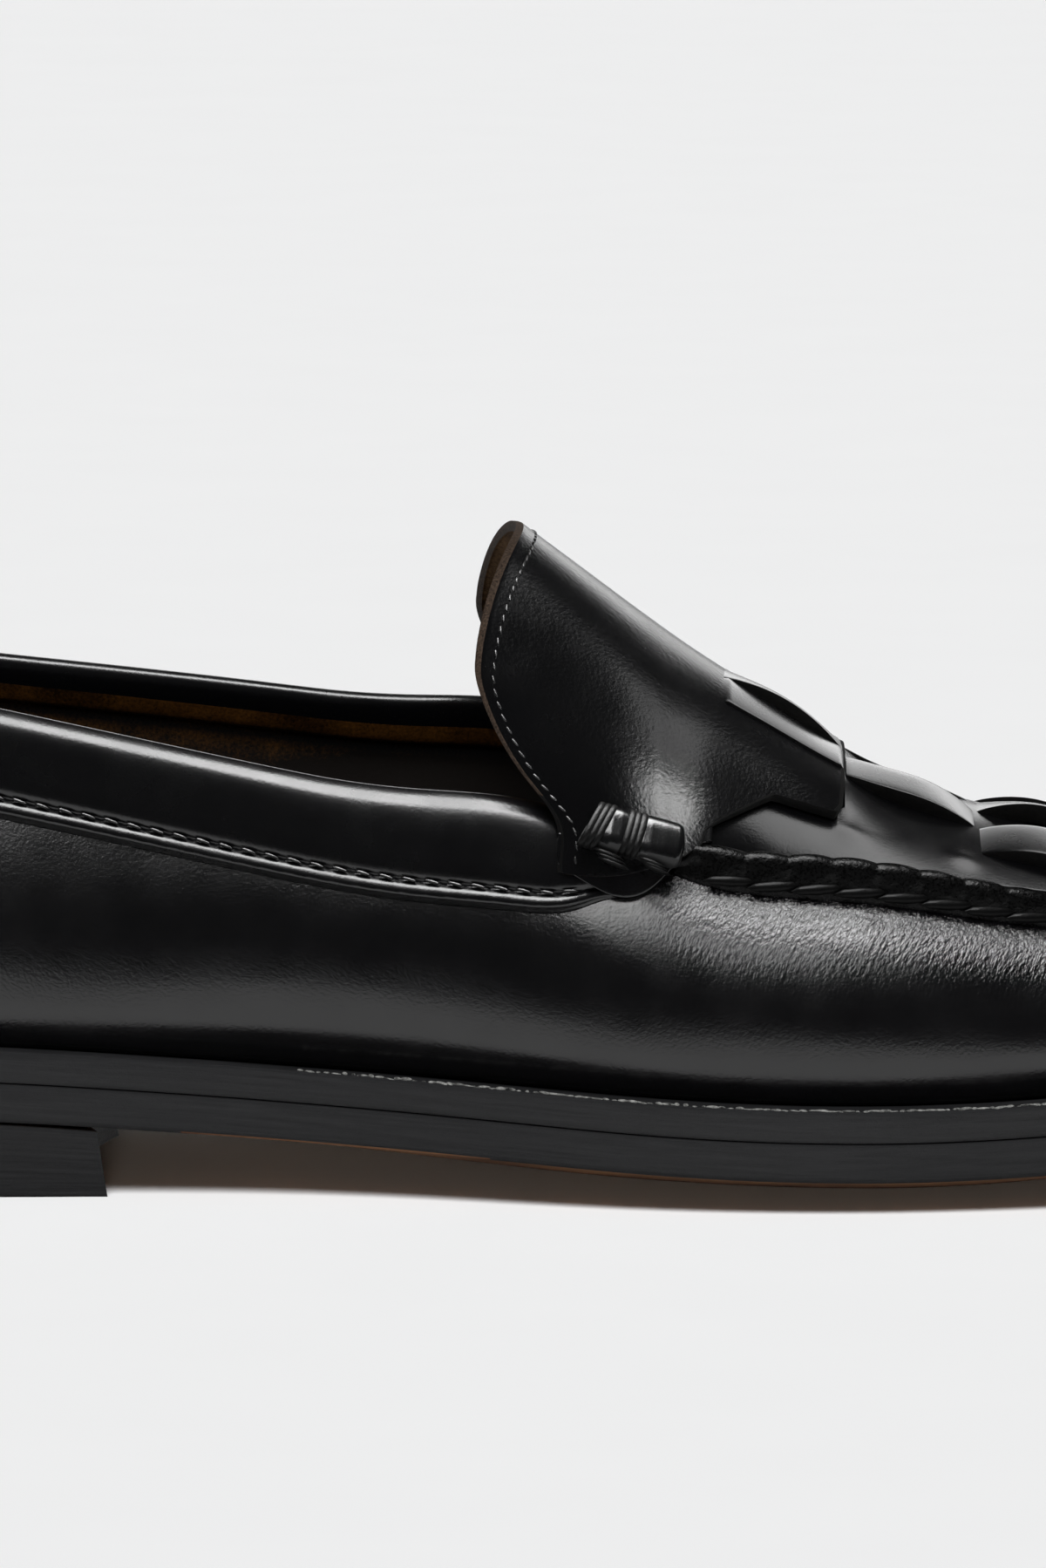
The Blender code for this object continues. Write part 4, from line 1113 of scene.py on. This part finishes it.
def make_band():
    section = ring_line(BAND_SECTION)
    count = len(BAND_SECTION)

    def place(u, v):
        turn = (2.0 * u - 1.0) * BAND_END
        found = section(v * count)
        drop, lift = found[:, 0], found[:, 1]
        lift = np.where(lift > GAP, GAP + (lift - GAP) * band_taper(turn), lift)
        bead = (drop > BAND_STITCH_DROP) & (lift > BEAD_LIFT)
        puff = puffs(band_length(turn), BAND_STITCH_PITCH) - WAVE_MEAN
        lift = np.where(bead, lift + BAND_PUFF * puff, lift)
        return band_point(turn, band_drop(turn, drop), lift)

    shape = bmesh.new()
    columns, rows = 620, 90
    corners, faces = add_grid(shape, columns, rows, place, (330.0, 62.0))
    first, last = (round(point * rows / count) * (columns + 1) for point in BAND_LINED)
    lined = set(corners[first:last])
    for face in faces:
        if lined.issuperset(face.verts):
            face.material_index = 1
    close(shape)
    make_piece("collar_binding", shape, [BAND_CALF, COLLAR_LINING_PAINTED_SHADE], "collar_band")


# Threads


def spaced(points, normals, pitch):
    """Evenly spaced spots along a line of points, with their directions and normals."""
    lengths = run_lengths(points)
    at = np.arange(pitch / 2.0, lengths[-1], pitch)

    def read(values):
        return np.stack([np.interp(at, lengths, values[:, k]) for k in range(3)], axis=1)

    ahead = unit(np.gradient(points, axis=0))
    return read(points), unit(read(ahead)), unit(read(normals))


def add_stitches(shape, spots, ahead, normals, size, slant=0.0):
    """Small pillow-shaped stitches, size long, wide and high, turned by slant on the surface."""
    for spot, along, normal in zip(spots, ahead, normals):
        side = np.cross(normal, along)
        along = along * math.cos(slant) + side * math.sin(slant)
        axes = Matrix((Vector(along), Vector(np.cross(normal, along)), Vector(normal))).transposed().to_4x4()
        centre = Matrix.Translation(Vector((spot - ORIGIN) * MM))
        place = centre @ axes @ Matrix.Diagonal((*(np.array(size) * MM), 1.0))
        bmesh.ops.create_uvsphere(shape, u_segments=8, v_segments=6, radius=0.5, matrix=place)


def make_band_stitches():
    normals = wall_normal(BAND_SAMPLES, drop_to_share(BAND_SAMPLES, BAND_STITCH_LINE_DROP))
    shape = bmesh.new()
    add_stitches(shape, *spaced(BAND_STITCH_LINE, normals, BAND_STITCH_PITCH), *BAND_STITCH)
    make_piece("collar_stitches", shape, [THREAD])


def make_tongue_stitches():
    shape = bmesh.new()
    for side in (-1.0, 1.0):
        line = side * np.linspace(*TONGUE_STITCH_LINES, 200)
        back_x, _ = tongue_spot(line, np.zeros(len(line)))
        front_x, _ = tongue_spot(line, np.ones(len(line)))
        share = TONGUE_STITCH_INSET / (front_x - back_x)
        points = tongue_point(line, share, TONGUE_LIFT + TONGUE_THICKNESS + TONGUE_STITCH_LIFT)
        normals = instep_normal(*tongue_spot(line, share))
        add_stitches(shape, *spaced(points, normals, TONGUE_STITCH_PITCH), *TONGUE_STITCH)
    make_piece("tongue_stitches", shape, [BRIGHT_THREAD])


def make_seam_stitches():
    """Waxed cord of the moccasin seam: a lens at the ridge's foot between every two holes."""
    turn = np.linspace(SEAM_RIB + 0.05, SEAM_END_RIB - 0.05, 900)
    points = ridge_place(turn, np.full(len(turn), CORD_INWARD), np.full(len(turn), CORD_UPWARD))
    side = raised(outward(turn, "top_x", "top_y"), np.full(len(turn), CORD_LEAN))
    shape = bmesh.new()
    add_stitches(shape, *spaced(points, unit(side), SEAM_STITCH_PITCH), *SEAM_STITCH)
    make_piece("seam_cord", shape, [DULL_CORD])


def make_welt_crumbs():
    """The welt's frayed upper edge: short crumbs of leather and thread, uneven in size and place."""
    turn = np.linspace(WELT_START, RIB_COUNT - WELT_START, 1600)
    plan = sole_outline(turn, WELT_INSET)
    points = raised(plan, sole_top(plan[:, 0]))
    spots, ahead, outwards = spaced(points, np.tile(UP, (len(turn), 1)), WELT_CRUMB_PITCH)
    chance = np.random.RandomState(CRUMB_SEED)
    shape = bmesh.new()
    for spot, along, normal in zip(spots, ahead, outwards):
        length, width, height, lift, slant = chance.uniform(CRUMB_LEAST, CRUMB_MOST)
        add_stitches(shape, [spot + UP * lift], [along], [normal], (length, width, height), slant)
    make_piece("welt_crumbs", shape, [WORN_EDGE])


# The rolls


ROLL_START = 152.6
ROLL_LENGTH = 14.6
ROLL_HEIGHT = 8.6
ROLL_DEPTH = 5.2
# Width of the rim round a roll's ends, and how far the ends lie in
ROLL_RIM = 0.7
ROLL_HOLLOW = 0.5
# The roll's flat face leans back, so that it faces upwards
ROLL_LEAN = math.radians(22.0)
# Faces whose upward lean is less than this are left unpolished
ROLL_DULL_BELOW = -0.1
ROLL_START_FAN = 0.905
ROLL_END_FAN = 1.01
ROLL_LIFT = TONGUE_LIFT + TONGUE_THICKNESS + GAP + ROLL_DEPTH / 2.0
# Place along the roll and share of its girth
ROLL_RINGS = (
    (0.00, 0.62),
    (0.02, 0.80),
    (0.07, 0.84),
    (0.13, 0.93),
    (0.20, 0.99),
    (0.30, 1.00),
    (0.38, 0.96),
    (0.43, 0.84),
    (0.50, 0.84),
    (0.55, 0.96),
    (0.64, 1.00),
    (0.80, 1.00),
    (0.96, 0.97),
    (1.00, 0.90),
)


def roll_frame(side, along):
    """Centres of a roll and its two cross directions, at shares of its length."""
    ends_x = np.array([ROLL_START, ROLL_START + ROLL_LENGTH])
    ends_fan = side * np.array([ROLL_START_FAN, ROLL_END_FAN])
    normals = instep_normal(ends_x, ends_fan) * np.array([0.0, 1.0, 1.0])
    ends = instep_point(ends_x, ends_fan) + unit(normals) * ROLL_LIFT
    axis = unit(ends[1] - ends[0])
    normal = unit(normals.sum(axis=0) - axis * (normals.sum(axis=0) @ axis))
    centre = ends[0] + (ends[1] - ends[0]) * along[:, None]
    tall = unit(np.cross(normal, axis)) * -side
    face = normal * math.cos(ROLL_LEAN) + tall * math.sin(ROLL_LEAN)
    edge = tall * math.cos(ROLL_LEAN) - normal * math.sin(ROLL_LEAN)
    return centre, face, edge


def roll_point(side, along, angle, girth):
    centre, normal, tall = roll_frame(side, along)
    deep = normal * (np.cos(angle) * ROLL_DEPTH / 2.0)[:, None]
    high = tall * (np.sin(angle) * ROLL_HEIGHT / 2.0)[:, None]
    return centre + (deep + high) * np.reshape(girth, (-1, 1))


def make_roll(name, side, node):
    along_line, girth_line = np.array(ROLL_RINGS).T

    def place(u, v):
        return roll_point(side, v, 2.0 * math.pi * u, np.interp(v, along_line, girth_line))

    shape = bmesh.new()
    add_grid(shape, 40, 70, place, (22.0, ROLL_LENGTH))
    weld(shape)
    ends = fill_holes(shape)
    front = max(ends, key=lambda face: face.calc_center_median().x)
    bmesh.ops.inset_region(shape, faces=ends, thickness=ROLL_RIM * MM, depth=-ROLL_HOLLOW * MM)
    front.material_index = 1
    face_outwards(shape)
    for face in shape.faces:
        if face.normal.z < ROLL_DULL_BELOW and face.material_index == 0:
            face.material_index = 2
    make_piece(name, shape, [CALF, RAW_EDGE, DULL_CALF], node)


# The wraps of a roll: place along it, and how far the cord leans
WRAPS = ((0.07, 1.3), (0.465, 0.5))
# Thickness of a strand, share of the roll's girth that it lies on, and how flat it is pressed
WRAP_STRAND = 1.15
WRAP_BED = 0.86
WRAP_PRESS = 0.75


def add_wrap(shape, side, along, strand, lean):
    """One strand of cord wound round a roll."""

    def place(u, v):
        angle = 2.0 * math.pi * u
        ring = 2.0 * math.pi * v
        here = along + lean * np.sin(angle) / ROLL_LENGTH + 0.5 * strand * np.sin(ring) / ROLL_LENGTH
        girth = WRAP_BED + 0.5 * strand * (1.0 + np.cos(ring)) / (ROLL_HEIGHT / 2.0) * WRAP_PRESS
        return roll_point(side, here, angle, girth)

    add_grid(shape, 36, 10, place, (24.0, 3.0))


def make_wraps():
    """Waxed cord round the rolls, three strands side by side at each wrap."""
    shape = bmesh.new()
    step = 0.85 * WRAP_STRAND / ROLL_LENGTH
    for side in (-1.0, 1.0):
        for wrap, lean in WRAPS:
            for k in (-1.0, 0.0, 1.0):
                add_wrap(shape, side, wrap + k * step, WRAP_STRAND, lean)
    weld(shape)
    face_outwards(shape)
    make_piece("roll_cords", shape, [CORD])


# The rounded flap below each roll: place along the shoe, and fan share of its lower edge
FLAP_STATIONS = (
    (147.4, 1.0),
    (153.0, 1.045),
    (159.5, 1.09),
    (164.5, 1.065),
    (168.5, 1.01),
    (172.5, 0.99),
)
FLAP_TOP_FAN = 0.93
FLAP_LIFT = 2.0
FLAP_THICKNESS = 1.5
FLAP_RIM = 0.3


def make_flaps():
    along, edge = np.array(FLAP_STATIONS).T
    edge_fan = smooth_line(along, edge)
    shape = bmesh.new()
    for side in (-1.0, 1.0):

        def place(u, v):
            x = along[0] + (along[-1] - along[0]) * u
            fan = side * (FLAP_TOP_FAN + (edge_fan(x) - FLAP_TOP_FAN) * v)
            return instep_point(x, fan) + instep_normal(x, fan) * FLAP_LIFT

        _, faces = add_grid(shape, 40, 14, place, (20.0, 8.0))
        if side < 0:
            bmesh.ops.reverse_faces(shape, faces=list(faces))
    piece = make_piece("roll_flaps", shape, [CALF])
    thicken(piece, FLAP_THICKNESS)
    round_rim(piece, FLAP_RIM)


# The bundles of cord: place along the shoe, fan share, and length of their strands
CORD_BUNDLES = ((155.6, 0.985, 5.6), (160.9, 1.02, 5.0))
STRAND_LIFT = FLAP_LIFT + 4.4
STRAND_WIDTH = 0.9
STRAND_HEIGHT = 1.6
# From strand to strand: a step along the shoe, and one of the fan share
STRAND_STEP = (0.35, 0.62 / 55.0)


def make_roll_stitches():
    """Two short bundles of cord below each roll, which slope down to the front."""
    shape = bmesh.new()
    ahead = unit(np.array([[1.0, 0.0, -0.42]]))
    for side in (-1.0, 1.0):
        for x, fan, length in CORD_BUNDLES:
            for k in (-1.0, 0.0, 1.0):
                at = np.array([x + STRAND_STEP[0] * k])
                turned = np.array([side * (fan + STRAND_STEP[1] * k)])
                normal = instep_normal(at, turned)
                spot = instep_point(at, turned) + normal * STRAND_LIFT
                add_stitches(shape, spot, ahead, normal, (length, STRAND_WIDTH, STRAND_HEIGHT))
    make_piece("roll_cord_ends", shape, [CORD])


# The sole


SOLE_COLUMNS_ROUND = 720


def edge_point(turn, inset, height):
    plan = sole_outline(turn, inset)
    return raised(plan, height(plan[:, 0]))


def add_sole_edge(shape, low, high, rows):
    """A layer's edge round the shoe. rows give inset, share of the height, and an offset up."""
    inset_line, share_line, offset_line = np.array(rows).T

    def place(u, v):
        turn = u * RIB_COUNT
        at = np.rint(v * (len(rows) - 1)).astype(int)
        plan = sole_outline(turn, inset_line[at])
        bottom = low(plan[:, 0])
        top = high(plan[:, 0])
        return raised(plan, bottom + (top - bottom) * share_line[at] + offset_line[at])

    return add_grid(shape, SOLE_COLUMNS_ROUND, len(rows) - 1, place, (800.0, 9.0))


# The two layers' edges from below to above: inset, share of the layer's height, and offset up
MIDSOLE_ROWS = (
    (6.0, 0.0, 0.0),
    (0.5, 0.0, 0.0),
    (0.12, 0.0, 0.12),
    (0.0, 0.0, 0.5),
    (0.0, 0.5, 0.0),
    (0.0, 1.0, -0.7),
    (0.1, 1.0, -0.25),
    (0.35, 1.0, -0.02),
    (0.9, 1.0, 0.0),
    (9.0, 1.0, 0.0),
)
OUTSOLE_ROWS = (
    (0.7, 0.0, 0.0),
    (0.25, 0.0, 0.1),
    (0.05, 0.0, 0.4),
    (0.0, 0.0, 0.9),
    (0.0, 0.5, 0.0),
    (0.0, 1.0, -0.4),
    (0.1, 1.0, 0.0),
    (0.4, 1.0, 0.2),
    (6.0, 1.0, 0.2),
)


def midsole_low(x):
    return rim_height(x) + OUTSOLE_EDGE + GAP


def outsole_high(x):
    return rim_height(x) + OUTSOLE_EDGE


def make_midsole():
    shape = bmesh.new()
    add_sole_edge(shape, midsole_low, sole_top, MIDSOLE_ROWS)
    close(shape)
    make_piece("midsole_edge", shape, [EDGE_INK], "midsole")


# Where the ink has rubbed off the outsole's lower corner at the waist
BARE_WAIST = (84.0, 136.0)
BARE_HEIGHT = 0.3


def make_outsole():
    """The bottom layer: an inked edge all round and a rounded bottom of bare leather."""
    shape = bmesh.new()
    _, edge_faces = add_sole_edge(shape, rim_height, outsole_high, OUTSOLE_ROWS)
    for face in edge_faces:
        spot = np.array(face.calc_center_median()) / MM + ORIGIN
        bare = BARE_WAIST[0] < spot[0] < BARE_WAIST[1]
        if bare and spot[2] - rim_height(spot[0]) < BARE_HEIGHT:
            face.material_index = 1
    inset = OUTSOLE_ROWS[0][0]

    def bottom(u, v):
        lateral = edge_point(u * RIB_COUNT / 2.0, np.full(len(u), inset), rim_height)
        medial = edge_point(RIB_COUNT - u * RIB_COUNT / 2.0, np.full(len(u), inset), rim_height)
        points = lateral + (medial - lateral) * v[:, None]
        points[:, 2] -= bottom_bulge(points[:, 0]) * (1.0 - (2.0 * v - 1.0) ** 2)
        points[:, 2] = np.maximum(points[:, 2], 0.0)
        return points

    _, faces = add_grid(shape, SOLE_COLUMNS_ROUND // 2, 30, bottom, (297.0, 100.0))
    for face in faces:
        face.material_index = 1
    close(shape)
    make_piece("outsole_leather", shape, [EDGE_INK, SOLE_TAN], "outsole")


def heel_plan(inset, breast):
    """Plan of the heel: the sole's outline behind the breast, and the hollow breast line."""
    fine_step, breast_steps = 0.05, 24
    outline = sole_outline(np.arange(-RIB_COUNT / 4.0, RIB_COUNT / 4.0, fine_step), inset)
    outline = outline[outline[:, 0] < breast - HEEL_BREAST_HOLLOW * 0.4]
    share = np.linspace(0.0, 1.0, breast_steps + 1)
    y = outline[-1][1] + (outline[0][1] - outline[-1][1]) * share
    x = breast - HEEL_BREAST_HOLLOW * (1.0 - (2.0 * share - 1.0) ** 2)
    return np.vstack([outline, np.stack([x, y], axis=1)])


# The heel from the floor up: how far the edge stands in, and its share of the height
HEEL_ROWS = (
    (1.55, 0.0),
    (1.22, 0.03),
    (1.15, 0.3),
    (0.9, 0.6),
    (0.45, 0.93),
    (0.55, 0.985),
    (0.9, 1.0),
)


def make_heel():
    plans = [heel_plan(inset, HEEL_LENGTH - HEEL_BREAST_RAKE * share) for inset, share in HEEL_ROWS]
    count = min(len(plan) for plan in plans)
    plans = np.array([plan[-count:] for plan in plans])
    shares = np.array(HEEL_ROWS)[:, 1]

    def place(u, v):
        spot = np.rint(u * count).astype(int) % count
        row = np.rint(v * (len(HEEL_ROWS) - 1)).astype(int)
        plan = plans[row, spot]
        seat = rim_height(plan[:, 0]) - bottom_bulge(plan[:, 0]) - GAP
        return raised(plan, seat * shares[row])

    shape = bmesh.new()
    add_grid(shape, count, len(HEEL_ROWS) - 1, place, (180.0, 13.0))
    close(shape)
    make_piece("heel_stack", shape, [EDGE_INK], "heel")


def dress_insole():
    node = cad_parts["insole"]
    node.data.materials.clear()
    # The lining suede's painted shade leaves the insole at its dark end.
    node.data.materials.append(LINING_PAINTED_SHADE)


# The studio


CAMERA_TARGET = (141.35, 0.0, 65.15)
CAMERA_DISTANCE = 2200.0
CAMERA_ELEVATION = math.radians(8.0)
CAMERA_LENS = 299.5
SENSOR_HEIGHT = 36.0
# How far the camera sees, in metres
CAMERA_REACH = 100.0


def in_frame(point):
    return Vector((np.array(point) - ORIGIN) * MM)


def aim(thing, target):
    """Turn a camera or a light so that it looks at the target."""
    thing.rotation_euler = (target - thing.location).to_track_quat("-Z", "Y").to_euler()


def make_camera():
    lens = bpy.data.cameras.new("camera")
    lens.lens = CAMERA_LENS
    lens.sensor_fit = "VERTICAL"
    lens.sensor_height = SENSOR_HEIGHT
    lens.clip_end = CAMERA_REACH
    camera = put("camera", lens)
    target = in_frame(CAMERA_TARGET)
    back = Vector((0.0, -math.cos(CAMERA_ELEVATION), math.sin(CAMERA_ELEVATION)))
    camera.location = target + back * CAMERA_DISTANCE * MM
    aim(camera, target)
    bpy.context.scene.camera = camera


# The floor's cut lines from front to back, in metres: y at each of the columns of x
FLOOR_COLUMNS = (-12.0, -0.115, -0.078, -0.02, 0.04, 12.0)
FLOOR_FRONT = (-12.0,) * 6
FLOOR_FAR_LINE = (-0.2, -0.2, -0.12, -0.13, -0.3, -0.32)
FLOOR_NEAR_LINE = (-0.056, -0.056, -0.054, -0.06, -0.066, -0.068)
FLOOR_BEHIND = (0.06,) * 6
FLOOR_BACK = (12.0,) * 6
# Strips of the floor, and whether polished leather mirrors them
FLOOR_STRIPS = (
    ("floor_front", FLOOR_FRONT, FLOOR_FAR_LINE, False),
    ("floor_near", FLOOR_FAR_LINE, FLOOR_NEAR_LINE, True),
    ("floor_under", FLOOR_NEAR_LINE, FLOOR_BEHIND, False),
    ("floor_back", FLOOR_BEHIND, FLOOR_BACK, True),
)


def make_floor():
    """One pale board, laid in strips so that each can be kept out of the leather's reflections."""
    finish = studio_floor("pale_board")
    spans = len(FLOOR_COLUMNS) - 1
    for name, front, back, mirrored in FLOOR_STRIPS:
        shape = bmesh.new()
        made = bmesh.ops.create_grid(shape, x_segments=spans, y_segments=1, size=0.5)
        for corner in made["verts"]:
            at = round((corner.co.x + 0.5) * spans)
            line = back if corner.co.y > 0.0 else front
            corner.co = (FLOOR_COLUMNS[at], line[at], 0.0)
        floor = put(name, make_mesh(name, shape, [finish]))
        floor.visible_glossy = mirrored


def gather(name, pieces):
    """A collection that holds the named pieces, for a lamp to fall on or be stopped by."""
    group = bpy.data.collections.new(name)
    for piece in pieces:
        group.objects.link(bpy.data.objects[piece])
    return group


def soft_box(name, place, target, size, radiance, pieces=(), roll=0.0):
    """A panel of light that shows in the leather's gloss alone, on the named pieces or on all."""
    light = bpy.data.lights.new(name, "AREA")
    light.shape = "RECTANGLE"
    light.size, light.size_y = size
    light.energy = radiance * math.pi * size[0] * size[1]
    lamp = put(name, light)
    lamp.location = Vector(place)
    lamp.visible_diffuse = False
    lamp.visible_camera = False
    aim(lamp, Vector(target))
    lamp.rotation_euler.rotate_axis("Z", math.radians(roll))
    if pieces:
        lamp.light_linking.receiver_collection = gather(name + "_falls_on", pieces)


def round_the_shoe(azimuth, elevation, distance):
    """A place round the shoe: degrees from the camera towards the toe and up, and metres away."""
    turn, climb = math.radians(azimuth), math.radians(elevation)
    level = math.cos(climb) * distance
    middle_height = 0.05
    return (level * math.sin(turn), -level * math.cos(turn), middle_height + math.sin(climb) * distance)


TONGUE_PIECES = ("tongue_shield", "tongue_stitches")
COLLAR_PIECES = ("collar_binding", "collar_stitches")
VAMP_PIECES = ("upper_wall", "seam_ridge", "seam_cord", "roll_flaps")
ROLL_PIECES = ("lateral_roll", "medial_roll", "roll_cords", "roll_cord_ends")
STITCH_PIECES = ("tongue_stitches", "collar_stitches")
SOLE_PIECES = ("midsole_edge", "outsole_leather", "heel_stack")
ROOM_LIGHT = 0.03
# Even light from far away: strength, colour, angle of its soft edge and tilt from straight above
EVEN_SKY = (3.37, "#FDFEFF", 32.0, 33.0)
ARCH_FILL = (0.86, "#FFECDA", 9.0, 83.0)


def far_light(name, strength, colour, soft_angle, tilt):
    """An even light from the camera's side that gives no glints."""
    light = bpy.data.lights.new(name, "SUN")
    light.energy = strength
    light.color = linear(colour)[:3]
    light.angle = math.radians(soft_angle)
    lamp = put(name, light)
    lamp.rotation_euler = (math.radians(tilt), 0.0, 0.0)
    lamp.visible_glossy = False
    return lamp


def make_arch_fill():
    """A low light on the floor, which reaches in under the arch and is stopped by the sole alone."""
    lamp = far_light("arch_fill", *ARCH_FILL)
    floors = [strip[0] for strip in FLOOR_STRIPS]
    lamp.light_linking.receiver_collection = gather("arch_fill_falls_on", floors)
    lamp.light_linking.blocker_collection = gather("arch_fill_stopped_by", SOLE_PIECES)


def make_lights():
    world = bpy.data.worlds.new("dim_studio")
    world.use_nodes = True
    world.node_tree.nodes["Background"].inputs["Color"].default_value = (1.0, 1.0, 1.0, 1.0)
    world.node_tree.nodes["Background"].inputs["Strength"].default_value = ROOM_LIGHT
    bpy.context.scene.world = world
    far_light("even_sky", *EVEN_SKY)
    # Each panel: place, target and size in metres, radiance, and the pieces that it falls on
    shoe = (0.0, 0.0, 0.06)
    over = VAMP_PIECES + ROLL_PIECES + STITCH_PIECES
    soft_box("overhead_box", (0.0, -0.26, 1.1), shoe, (0.66, 0.88), 13.0, over)
    soft_box("seam_box", (0.42, 0.1, 1.1), shoe, (0.35, 0.5), 6.0, ("upper_wall",))
    front = round_the_shoe(-5.0, 36.0, 1.2)
    soft_box("front_box", front, shoe, (0.75, 0.22), 7.0, ("upper_wall", *STITCH_PIECES), roll=48.0)
    soft_box("roll_top_box", (0.1, 0.32, 1.15), shoe, (0.8, 0.75), 12.0, ROLL_PIECES)
    soft_box("roll_box", round_the_shoe(3.0, 43.0, 1.2), shoe, (0.6, 0.45), 9.0, ROLL_PIECES)
    soft_box("collar_box", (0.0, -0.09, 1.25), shoe, (2.6, 0.46), 11.5, COLLAR_PIECES)
    soft_box("toe_side_box", round_the_shoe(62.0, 34.0, 1.4), shoe, (0.5, 0.4), 9.0, TONGUE_PIECES)
    soft_box("toe_fill_box", round_the_shoe(98.0, 47.0, 1.4), shoe, (0.7, 0.3), 1.4, TONGUE_PIECES)
    apron_fill = round_the_shoe(105.0, 60.0, 1.4)
    soft_box("apron_fill_box", apron_fill, shoe, (1.2, 0.9), 2.5, ("apron", "woven_strips"))
    soft_box("weave_panel", (0.9, 2.5, 1.35), shoe, (3.6, 1.3), 1.5, ("woven_strips",))
    soft_box("back_panel", (0.3, 3.0, 0.8), shoe, (5.0, 0.9), 1.5)
    make_arch_fill()


def main():
    bpy.context.scene.view_settings.view_transform = "Standard"
    make_camera()
    make_floor()
    make_wall()
    make_ridge()
    make_apron()
    make_strips()
    make_tongue()
    make_band()
    make_band_stitches()
    make_tongue_stitches()
    make_seam_stitches()
    make_welt_crumbs()
    make_roll("lateral_roll", -1.0, "roll_lateral")
    make_roll("medial_roll", 1.0, "roll_medial")
    make_wraps()
    make_flaps()
    make_roll_stitches()
    make_midsole()
    make_outsole()
    make_heel()
    dress_insole()
    make_lights()


main()
